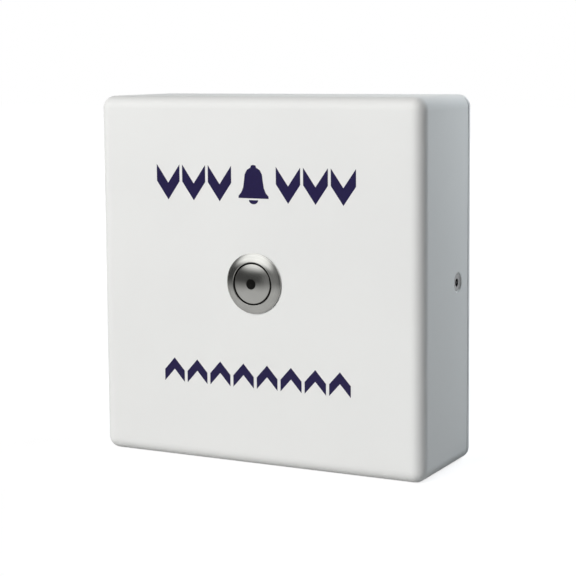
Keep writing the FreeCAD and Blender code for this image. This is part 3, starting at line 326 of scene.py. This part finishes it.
# grainShare is how many grains wide a cloud is; bumpShare is the grains' depth as a share of their size
moulding = {"ior": 1.5, "grainShare": 25, "roughnessDrift": 0.1, "bumpShare": 0.05}


def moulded(name, settings):
    plastic = Finish(name)
    grain = plastic.noise(settings["grainSize"], detail=2.0)
    cloud = plastic.noise(settings["grainSize"] * moulding["grainShare"], detail=2.0)
    return plastic.surface(
        Base_Color=plastic.tint(cloud, settings), IOR=settings.get("ior", moulding["ior"]),
        Roughness=plastic.drift(settings["roughness"], cloud, moulding["roughnessDrift"]),
        Normal=plastic.bump(grain, settings["grainStrength"], settings["grainSize"] * moulding["bumpShare"]))


blackPlastic = moulded("blackPlastic", {
    "colour": (0.018, 0.018, 0.019), "otherColour": (0.024, 0.024, 0.025), "roughness": 0.5,
    "grainSize": 0.15 * mm, "grainStrength": 0.3})
lensPlastic = moulded("lensPlastic", {
    "colour": (0.004, 0.004, 0.0035), "otherColour": (0.005, 0.005, 0.0045), "roughness": 0.3, "ior": 1.25,
    "grainSize": 0.1 * mm, "grainStrength": 0.05})
sealRubber = moulded("sealRubber", {
    "colour": (0.02, 0.02, 0.02), "otherColour": (0.03, 0.03, 0.03), "roughness": 0.8,
    "grainSize": 0.1 * mm, "grainStrength": 0.4})
lampPlastic = moulded("lampPlastic", {
    "colour": (0.62, 0.66, 0.72), "otherColour": (0.58, 0.62, 0.7), "roughness": 0.25,
    "grainSize": 0.1 * mm, "grainStrength": 0.05})
chipPlastic = moulded("chipPlastic", {
    "colour": (0.022, 0.022, 0.024), "otherColour": (0.030, 0.030, 0.032), "roughness": 0.55,
    "grainSize": 0.08 * mm, "grainStrength": 0.4})
ferrite = moulded("ferrite", {
    "colour": (0.05, 0.05, 0.052), "otherColour": (0.07, 0.07, 0.07), "roughness": 0.7,
    "grainSize": 0.12 * mm, "grainStrength": 0.6})
greenPlastic = moulded("greenPlastic", {
    "colour": (0.03, 0.24, 0.09), "otherColour": (0.035, 0.26, 0.10), "roughness": 0.42,
    "grainSize": 0.15 * mm, "grainStrength": 0.25})
bluePlastic = moulded("bluePlastic", {
    "colour": (0.02, 0.07, 0.30), "otherColour": (0.022, 0.08, 0.33), "roughness": 0.35,
    "grainSize": 0.15 * mm, "grainStrength": 0.2})
whitePlastic = moulded("whitePlastic", {
    "colour": (0.74, 0.72, 0.64), "otherColour": (0.70, 0.68, 0.60), "roughness": 0.45,
    "grainSize": 0.15 * mm, "grainStrength": 0.2})
greenWindow = moulded("greenWindow", {
    "colour": (0.10, 0.34, 0.12), "otherColour": (0.11, 0.36, 0.13), "roughness": 0.2,
    "grainSize": 0.1 * mm, "grainStrength": 0.05})


def solderMask(name, settings):
    # green lacquer over copper tracks, which run upwards in some patches and sideways in others
    mask = Finish(name)
    pitch = settings["trackPitch"]
    x, y, z = mask.split(mask.place())
    sway = mask.noise(pitch * settings["swayPitches"], detail=0.0)
    across = abs((x + (sway - 0.5) * settings["sway"]) % pitch / pitch)
    along = abs(z % pitch / pitch)
    choice = mask.noise(pitch * settings["patchPitches"], detail=0.0) > 0.5
    track = mask.within(across * choice + along * (1 - choice), settings["trackFrom"], settings["trackTo"])
    copper = mask.blend(track, settings["colour"], settings["overCopper"])
    edge = abs(y - settings["middle"]) > settings["halfCopper"]
    return mask.surface(
        Base_Color=mask.blend(edge, settings["laminate"], copper),
        Roughness=settings["roughness"], IOR=settings["ior"],
        Normal=mask.bump(track, settings["trackStrength"], settings["trackDepth"]))


boardLacquer = solderMask("boardLacquer", {
    "colour": (0.010, 0.105, 0.040), "overCopper": (0.022, 0.17, 0.062), "laminate": (0.42, 0.36, 0.18),
    "roughness": 0.3, "ior": 1.5, "trackPitch": 1.27 * mm, "trackFrom": 0.42, "trackTo": 0.5,
    "trackStrength": 0.3, "trackDepth": 0.03 * mm, "sway": 2 * mm, "swayPitches": 6, "patchPitches": 9,
    "middle": (boardLow.y + boardHigh.y) / 2, "halfCopper": (boardHigh.y - boardLow.y) / 2 - 0.05 * mm})


def printInk(name, settings):
    ink = Finish(name)
    mottle = ink.noise(settings["mottleSize"], detail=3.0)
    return ink.surface(
        Base_Color=ink.tint(mottle, settings),
        Roughness=ink.drift(settings["roughness"], mottle, settings["roughnessDrift"]),
        Normal=ink.bump(mottle, settings["bumpStrength"], settings["bumpDepth"]))


markInk = printInk("markInk", {
    "colour": screenColour(27, 18, 66), "otherColour": screenColour(24, 15, 60), "mottleSize": 0.8 * mm,
    "roughness": 0.38, "roughnessDrift": 0.1, "bumpStrength": 0.1, "bumpDepth": 0.01 * mm})

nodeFinishes = {
    "front_cover": coverPaint, "wall_plate": highlightedPlatePaint,
    "side_brackets": zincPlate, "bracket_nuts": zincPlate, "cover_screws": screwMetal,
    "button_housing": stainless, "button_cap": stainless, "button_nut": stainless,
    "button_seal": sealRubber, "button_lens": lensPlastic, "button_lamp": lampPlastic,
    "button_plunger": blackPlastic, "guide_washer": blackPlastic, "contact_block": blackPlastic,
    "return_spring": wireSteel, "contact_bridge": contactMetal, "button_terminals": contactMetal,
    "circuit_board": boardLacquer, "board_screws": zincPlate,
    "jack_shield": zincPlate, "jack_body": blackPlastic, "jack_contacts": contactMetal,
    "processor": chipPlastic, "memory_chip": chipPlastic, "network_transformer": chipPlastic,
    "power_inductor": ferrite, "crystal": canMetal, "capacitors": canSleeves,
    "relay": bluePlastic, "terminal_block": greenPlastic, "terminal_screws": zincPlate,
    "button_header": whitePlastic, "button_plug": whitePlastic, "button_wires": wireCovering,
}


def dressNode(name, material):
    shape = nodes[name]
    shape.data.materials.clear()
    shape.data.materials.append(material)
    for face in shape.data.polygons:
        face.material_index = 0


for nodeName, nodeFinish in nodeFinishes.items():
    dressNode(nodeName, nodeFinish)
print("finishes on", len(nodeFinishes), "nodes")


# mesh helpers

def meshFrom(drawing, name):
    bmesh.ops.recalc_face_normals(drawing, faces=drawing.faces)
    mesh = bpy.data.meshes.new(name)
    drawing.to_mesh(mesh)
    drawing.free()
    return mesh


def joinRings(drawing, rings):
    # walls between rings of as many points each
    for first, second in zip(rings, rings[1:]):
        for corner in range(len(first)):
            after = (corner + 1) % len(first)
            drawing.faces.new((first[corner], first[after], second[after], second[corner]))


def addPiece(name, mesh, material, body, smoothAngle=35):
    piece = bpy.data.objects.new(name, mesh)
    bpy.context.scene.collection.objects.link(piece)
    mesh.materials.append(material)
    mesh.polygons.foreach_set("use_smooth", [True] * len(mesh.polygons))
    mesh.set_sharp_from_angle(angle=math.radians(smoothAngle))
    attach(piece, body)
    return piece


# printed marks: rows of chevrons that point at the button, with a plain bell in the upper row

markSettings = {
    "inkThickness": 0.03 * mm,
    "upper": {"centres": (-34.5, -24.0, -13.5, 13.5, 24.0, 34.5), "middle": 34.6 * mm,
              "height": 12.6 * mm, "stroke": 6.0 * mm, "width": 9.4 * mm, "points": -1},
    "lower": {"centres": (-32.9, -23.5, -14.1, -4.7, 4.7, 14.1, 23.5, 32.9), "middle": -33.0 * mm,
              "height": 8.6 * mm, "stroke": 4.1 * mm, "width": 8.2 * mm, "points": 1},
}

# side runs down one half of the bell, in units; with its clapper the bell is unitsHigh units high
bellSettings = {
    "x": 0.0, "z": 34.6 * mm, "height": 13.6 * mm, "unitsHigh": 14,
    "side": ((0.0, 7.0), (0.9, 6.8), (1.2, 6.0), (2.6, 5.2), (3.5, 3.6), (3.8, 1.4), (4.2, -1.2), (5.0, -3.0),
             (6.1, -4.2), (6.1, -5.0)),
    "clapperHalf": 1.9, "clapperDrop": 1.5, "clapperTop": -5.6, "clapperSteps": 10,
}


def flatPrint(name, outlines, level, thickness):
    # closed outlines of (x, z) points as thin raised shapes on the plane y = level, facing -Y
    drawing = bmesh.new()
    for points in outlines:
        front = [drawing.verts.new((x, level - thickness, z)) for x, z in points]
        rear = [drawing.verts.new((x, level, z)) for x, z in points]
        drawing.faces.new(front)
        joinRings(drawing, (front, rear))
    return meshFrom(drawing, name)


def chevron(x, z, settings):
    # six corners; points is 1 for upwards and -1 for downwards
    half = settings["width"] / 2
    tip = settings["points"] * settings["height"] / 2
    rise = settings["points"] * settings["stroke"]
    corners = [(-half, -tip), (0, tip - rise), (half, -tip),
               (half, -tip + rise), (0, tip), (-half, -tip + rise)]
    return [(x + a, z + b) for a, b in corners]


def chevronRow(settings):
    return [chevron(centre * mm, settings["middle"], settings) for centre in settings["centres"]]


def bellOutlines(settings):
    # a flared skirt with its crown, and half a clapper below it
    unit = settings["height"] / settings["unitsHigh"]
    side = list(settings["side"])
    skirt = side + [(-a, b) for a, b in reversed(side[1:])]
    steps = settings["clapperSteps"]
    turns = [math.pi + math.pi * step / steps for step in range(steps + 1)]
    clapper = [(settings["clapperHalf"] * math.cos(turn),
                settings["clapperTop"] + settings["clapperDrop"] * math.sin(turn)) for turn in turns]
    return [[(settings["x"] + a * unit, settings["z"] + b * unit) for a, b in points]
            for points in (skirt, clapper)]


markRows = {
    "upperMarks": chevronRow(markSettings["upper"]) + bellOutlines(bellSettings),
    "lowerMarks": chevronRow(markSettings["lower"]),
}
for rowName, rowOutlines in markRows.items():
    rowMesh = flatPrint(rowName, rowOutlines, facePlane, markSettings["inkThickness"])
    addPiece(rowName, rowMesh, markInk, "box")
print("marks printed")


# return spring: a coil of wire in place of the frame's spring, its far end on the guide washer

springSettings = {
    "turns": 4.0, "wireRadius": 0.28 * mm, "stepsPerTurn": 48, "sides": 12,
    "pressed": 2.25 * mm,    # how much shorter it is at the end of the travel
}


def springCoil(settings):
    low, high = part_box("return_spring")
    wire = settings["wireRadius"]
    radius = (high.x - low.x) / 2 - wire
    rise = high.y - low.y - 2 * wire
    steps = int(settings["turns"] * settings["stepsPerTurn"])
    angles = [2 * math.pi * side / settings["sides"] for side in range(settings["sides"])]
    drawing = bmesh.new()
    rings = []
    for step in range(steps + 1):
        turn = 2 * math.pi * settings["turns"] * step / steps
        outward = Vector((math.cos(turn), 0, math.sin(turn)))
        middle = outward * radius + Vector((0, low.y + wire + rise * step / steps, 0))
        spots = [middle + outward * wire * math.cos(angle) + Vector((0, wire * math.sin(angle), 0))
                 for angle in angles]
        rings.append([drawing.verts.new(spot) for spot in spots])
    joinRings(drawing, rings)
    drawing.faces.new(rings[0])
    drawing.faces.new(rings[-1])
    spring = addPiece("springCoil", meshFrom(drawing, "springCoil"), wireSteel, "box")
    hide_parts("return_spring")
    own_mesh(spring)


springCoil(springSettings)
print("spring coiled")


# board details, in millimetres: the parts stand on the board's rear face and their joints show in front

boardFront, boardRear = boardLow.y / mm, boardHigh.y / mm

# each chip has the legs' pitch, their number to a side, the sides that have them, and a leg's width
# each step of the bend lies so far from the chip and so far above the board
legSettings = {
    "chips": {"processor": (0.8, 14, "xz", 0.34), "memory_chip": (1.27, 6, "z", 0.42),
              "network_transformer": (1.27, 10, "z", 0.46)},
    "bend": ((-0.3, 0.95), (0.3, 0.95), (0.62, 0.16), (1.05, 0.16)), "thickness": 0.14,
}


def chipLegs(name, settings):
    # flat metal legs that leave a chip's sides, bend down and lie on the board
    low, high = (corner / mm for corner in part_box(name))
    middle = (low + high) / 2
    pitch, count, sides, width = settings["chips"][name]
    section = ((-0.5, 0), (0.5, 0), (0.5, -1), (-0.5, -1))    # shares of the width and the thickness
    drawing = bmesh.new()
    for side in sides:
        edge = high.x - middle.x if side == "x" else high.z - middle.z
        for way in (-1, 1):
            for place in range(count):
                rings = []
                for away, lift in settings["bend"]:
                    out = way * (edge + away)
                    level = boardRear + lift
                    ring = []
                    for across, rise in section:
                        aside = (place - (count - 1) / 2) * pitch + across * width
                        x, z = (out, aside) if side == "x" else (aside, out)
                        spot = (middle.x + x, level + rise * settings["thickness"], middle.z + z)
                        ring.append(drawing.verts.new(Vector(spot) * mm))
                    rings.append(ring)
                joinRings(drawing, rings)
                drawing.faces.new(rings[0])
                drawing.faces.new(rings[-1])
    return meshFrom(drawing, name + "Legs")


def blocks(name, boxes, rounding):
    # one mesh of many small blocks with softened edges, each given by its middle and its size
    drawing = bmesh.new()
    for middle, size in boxes:
        made = bmesh.ops.create_cube(drawing, size=1.0)["verts"]
        bmesh.ops.scale(drawing, vec=Vector(size) * mm, verts=made)
        bmesh.ops.translate(drawing, vec=Vector(middle) * mm, verts=made)
    bmesh.ops.bevel(drawing, geom=drawing.edges[:], offset=rounding * mm, segments=2, affect="EDGES")
    return meshFrom(drawing, name)


# each run is its first x and z, the step to the next part, and how many there are
smallSettings = {
    "runs": ((-14.0, -42.6, 3.0, 0.0, 8), (-12.5, -46.4, 3.0, 0.0, 7),
             (22.6, -24.0, 0.0, -2.6, 8), (12.4, -28.0, 0.0, -2.6, 6)),
    "body": (1.3, 0.55, 1.1), "bodyLift": 0.02, "bodyRounding": 0.06,
    "end": (0.35, 0.6, 1.16), "endRounding": 0.08,
}


def addSmallParts(settings):
    # resistors and capacitors: a dark body between two tinned ends
    spots = [(x + stepX * place, z + stepZ * place)
             for x, z, stepX, stepZ, count in settings["runs"] for place in range(count)]
    body, end = settings["body"], settings["end"]
    bodyLevel = boardRear + body[1] / 2 + settings["bodyLift"]
    endLevel = boardRear + end[1] / 2
    apart = (body[0] + end[0]) / 2
    bodies = [((x, bodyLevel, z), body) for x, z in spots]
    ends = [((x + way * apart, endLevel, z), end) for x, z in spots for way in (-1, 1)]
    bodyMesh = blocks("smallParts", bodies, settings["bodyRounding"])
    endMesh = blocks("smallPartEnds", ends, settings["endRounding"])
    addPiece("smallParts", bodyMesh, ferrite, "box")
    addPiece("smallPartEnds", endMesh, solderTin, "box")


# profile is (radius, height) from the board to the tip; pins has columns, rows and their inset for each part
jointSettings = {
    "profile": ((0.95, 0.02), (0.72, 0.22), (0.45, 0.62), (0.34, 1.05), (0.3, 1.3), (0.0, 1.36)),
    "sides": 14, "smoothAngle": 60,
    "pins": {"relay": (4, 2, 1.6), "terminal_block": (4, 1, 2.5), "jack_body": (8, 1, 1.9),
             "button_header": (4, 1, 2.2), "crystal": (2, 1, 2.8), "power_inductor": (2, 1, 1.6)},
    "canPins": (-1.75, 1.75),
}


def pinPlaces(settings):
    # where the pins of the parts that go through the board come out
    places = []
    for name, (columns, rows, inset) in settings["pins"].items():
        low, high = (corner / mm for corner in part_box(name))
        for column in range(columns):
            x = low.x + inset + (high.x - low.x - 2 * inset) * column / (columns - 1)
            for row in range(rows):
                z = (low.z + high.z) / 2
                if rows > 1:
                    z = low.z + inset + (high.z - low.z - 2 * inset) * row / (rows - 1)
                places.append((x, z))
    low, high = canLow / mm, canHigh / mm
    radius = canRadius / mm
    for middle in (low.x + radius, (low.x + high.x) / 2, high.x - radius):
        places += [(middle + pin, (low.z + high.z) / 2) for pin in settings["canPins"]]
    return places


def solderJoints(settings, places):
    # small cones of solder round the trimmed pins, on the board's front face
    angles = [2 * math.pi * side / settings["sides"] for side in range(settings["sides"])]
    drawing = bmesh.new()
    for x, z in places:
        rings = []
        for radius, rise in settings["profile"][:-1]:
            spots = [(x + radius * math.cos(angle), boardFront - rise, z + radius * math.sin(angle))
                     for angle in angles]
            rings.append([drawing.verts.new(Vector(spot) * mm) for spot in spots])
        tip = drawing.verts.new(Vector((x, boardFront - settings["profile"][-1][1], z)) * mm)
        joinRings(drawing, rings)
        for side in range(settings["sides"]):
            drawing.faces.new((rings[-1][side], rings[-1][(side + 1) % settings["sides"]], tip))
        drawing.faces.new(rings[0])
    return meshFrom(drawing, "solderJoints")


windowSettings = {"size": (2.2, 1.5, 0.16), "inset": 2.0, "depth": 1.35, "sunk": 0.02, "rounding": 0.07}


def socketWindows(settings):
    # two lamp windows on the network socket's upper side
    low, high = (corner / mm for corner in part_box("jack_body"))
    level = high.z + settings["size"][2] / 2 - settings["sunk"]
    windows = [((x, high.y - settings["depth"], level), settings["size"])
               for x in (low.x + settings["inset"], high.x - settings["inset"])]
    return blocks("socketWindows", windows, settings["rounding"])


for chipName in legSettings["chips"]:
    addPiece(chipName + "Legs", chipLegs(chipName, legSettings), solderTin, "box")
addSmallParts(smallSettings)
pins = pinPlaces(jointSettings)
jointMesh = solderJoints(jointSettings, pins)
addPiece("solderJoints", jointMesh, solderTin, "box", jointSettings["smoothAngle"])
addPiece("socketWindows", socketWindows(windowSettings), greenWindow, "box")


# studio: the floor, a white sky, the room that gloss mirrors, and the lamps

def pointing(azimuth, elevation):
    # 0 is in front, 90 to the right
    turn, rise = math.radians(azimuth), math.radians(elevation)
    return Vector((math.sin(turn) * math.cos(rise), -math.cos(turn) * math.cos(rise), math.sin(rise)))


def seenByEye(finish):
    # 1 for rays from the camera, from gloss and through glass, 0 for the light that falls on things
    path = finish.add("LightPath").socket.node.outputs
    rays = [Wire(finish, path[name]) for name in ("Is Camera Ray", "Is Glossy Ray", "Is Transmission Ray")]
    return smaller(rays[0] + rays[1] + rays[2], 1.0)


def addStage(name, mesh, material, level, hiddenFrom):
    mesh.materials.append(material)
    piece = bpy.data.objects.new(name, mesh)
    piece.location.z = level
    for kind in hiddenFrom:
        setattr(piece, "visible_" + kind, False)
    bpy.context.scene.collection.objects.link(piece)


# tone is for the light it throws back; shown and glow are for the eye, with the near glow round the box
floorSettings = {
    "size": 8.0, "tone": 0.5, "shown": 0.35,
    "glowNear": 0.81, "glowFar": 1.0, "nearEdge": 0.15, "farEdge": 0.75,
}


def buildFloor(settings):
    floor = Finish("paleFloor")
    real = floor.add("BsdfDiffuse", sockets={"Color": (settings["tone"],) * 3})
    x, y = floor.split(floor.place())[:2]
    away = floor.within((x * x + y * y) ** 0.5, settings["nearEdge"], settings["farEdge"])
    glow = settings["glowNear"] + away * (settings["glowFar"] - settings["glowNear"])
    shown = floor.add("AddShader", sockets={
        0: floor.add("BsdfDiffuse", sockets={"Color": (settings["shown"],) * 3}),
        1: floor.add("Emission", sockets={"Color": glow, "Strength": 1.0})})
    mixed = floor.add("MixShader", sockets={0: seenByEye(floor), 1: real, 2: shown})
    floor.add("OutputMaterial", sockets={"Surface": mixed})
    half = settings["size"] / 2
    mesh = bpy.data.meshes.new("floor")
    corners = [(-half, -half, 0), (half, -half, 0), (half, half, 0), (-half, half, 0)]
    mesh.from_pydata(corners, [], [(0, 1, 2, 3)])
    addStage("floor", mesh, floor.owner, floorLevel, ("glossy",))    # gloss mirrors the room's table instead


def buildSky():
    # white to the eye and in gloss, and no light of its own
    sky = Finish("sky", "worlds")
    bpy.context.scene.world = sky.owner
    back = sky.add("Background", sockets={"Color": (1, 1, 1), "Strength": seenByEye(sky)})
    sky.add("OutputWorld", sockets={"Surface": back})


# the room is dim in front, with one soft box, a paler wall and a grey table, and white behind
# box, wall and table are azimuth, elevation, core and edge, in degrees; from and to are elevations,
# but backFrom and backTo are shares of the way to the rear
roomSettings = {
    "radius": 3.0,
    "box": (-26, 32, 12, 44), "boxTone": 1.5, "skyTone": 0.26, "skyFrom": 7, "skyTo": 22,
    "wall": (12, -2, 5, 28), "wallTone": 0.24, "horizonTone": 0.07,
    "table": (-28, -20, 25, 85), "tableNear": 0.60, "tableFar": 0.20, "tableFrom": -2, "tableTo": -20,
    "backTone": 1.0, "backLow": 0.2, "backFrom": -0.05, "backTo": 0.55, "fadeFrom": -20, "fadeTo": -1,
}


def buildRoom(settings):
    glow = Finish("room")
    outward = glow.add("VectorMath", {"operation": "NORMALIZE"}, {0: glow.place()})
    y, z = glow.split(outward)[1:]

    def near(part):
        # 1 within core degrees of the part's direction, 0 beyond edge degrees
        azimuth, elevation, core, edge = settings[part]
        towards = pointing(azimuth, elevation)
        cosine = glow.add("VectorMath", {"operation": "DOT_PRODUCT"}, {0: outward, 1: towards}, "Value")
        return glow.within(cosine, math.cos(math.radians(edge)), math.cos(math.radians(core)))

    def above(low, high):
        return glow.within(z, math.sin(math.radians(low)), math.sin(math.radians(high)))

    def between(low, high, amount):
        return settings[low] + amount * (settings[high] - settings[low])

    sky = between("skyTone", "boxTone", near("box"))
    table = between("tableFar", "tableNear", near("table"))
    horizon = between("horizonTone", "wallTone", near("wall"))
    upper = above(settings["skyFrom"], settings["skyTo"])
    lower = 1 - above(settings["tableTo"], settings["tableFrom"])
    front = horizon * (1 - upper) * (1 - lower) + sky * upper + table * lower
    back = glow.within(y, settings["backFrom"], settings["backTo"])
    behind = between("backLow", "backTone", above(settings["fadeFrom"], settings["fadeTo"]))
    tone = front * (1 - back) + back * behind
    emission = glow.add("Emission", sockets={"Color": tone, "Strength": 1.0})
    glow.add("OutputMaterial", sockets={"Surface": emission})
    ball = bmesh.new()
    bmesh.ops.create_icosphere(ball, subdivisions=4, radius=settings["radius"])
    hiddenFrom = ("camera", "diffuse", "shadow", "transmission", "volume_scatter")
    addStage("room", meshFrom(ball, "room"), glow.owner, 0.0, hiddenFrom)


# azimuth and elevation in degrees, distance and size in metres, power in watts, colour
lamps = {
    "left": (-35, 8, 2.2, 0.6, 15.39, (1.0, 0.995, 1.0)),
    "front": (-10, 15, 2.2, 0.8, 6.93, (1.0, 0.995, 1.0)),
    "high": (-15, 35, 2.2, 0.8, 26.6, (1.0, 0.995, 1.0)),
    "behind": (180, 12, 2.2, 0.8, 10.0, (1.0, 1.0, 1.0)),
    "rear": (143, 32, 0.33, 0.12, 0.66, (0.85, 0.93, 1.0)),
    "side": (118, 22, 0.36, 0.12, 0.13, (0.85, 0.93, 1.0)),
}


def addLamp(name, azimuth, elevation, distance, size, power, colour):
    # a round lamp that is aimed at the object
    towards = pointing(azimuth, elevation)
    light = bpy.data.lights.new(name, "AREA")
    light.shape = "DISK"
    light.size = size
    light.energy = power
    light.color = colour
    lamp = bpy.data.objects.new(name, light)
    lamp.location = towards * distance
    lamp.rotation_euler = towards.to_track_quat("Z", "Y").to_euler()
    lamp.visible_camera = False
    lamp.visible_glossy = False     # gloss mirrors the room instead
    bpy.context.scene.collection.objects.link(lamp)


buildFloor(floorSettings)
buildSky()
buildRoom(roomSettings)
for lampName, lampSettings in lamps.items():
    addLamp(lampName, *lampSettings)
print("studio lit")


# camera, as measured from the photograph's outline of the box; focal, width and middleRow are in its pixels

cameraSettings = {
    "azimuth": 27.40, "elevation": 5.97, "roll": -0.43, "distance": 554.6 * mm,
    "lookAt": (13.38 * mm, facePlane, 19.3 * mm), "focal": 1614.2, "width": 576, "middleRow": 230,
    "sensor": 36, "clipNear": 0.01, "clipFar": 50,
}


def placeCamera(settings):
    roll = math.radians(settings["roll"])
    back = pointing(settings["azimuth"], settings["elevation"])
    right = Vector((0, 0, 1)).cross(back).normalized()
    up = back.cross(right)
    rightRolled = right * math.cos(roll) + up * math.sin(roll)
    upRolled = up * math.cos(roll) - right * math.sin(roll)
    spot = Vector(settings["lookAt"]) + back * settings["distance"]
    camera = bpy.data.objects.new("camera", bpy.data.cameras.new("camera"))
    turned = Matrix((rightRolled, upRolled, back)).transposed().to_4x4()
    camera.matrix_world = Matrix.Translation(spot) @ turned
    camera.data.lens = settings["focal"] / settings["width"] * settings["sensor"]
    camera.data.sensor_width = settings["sensor"]
    camera.data.sensor_fit = "HORIZONTAL"
    camera.data.shift_y = (settings["middleRow"] - settings["width"] / 2) / settings["width"]
    camera.data.clip_start = settings["clipNear"]
    camera.data.clip_end = settings["clipFar"]
    bpy.context.scene.collection.objects.link(camera)
    bpy.context.scene.camera = camera


placeCamera(cameraSettings)
bpy.context.scene.view_settings.view_transform = "Standard"
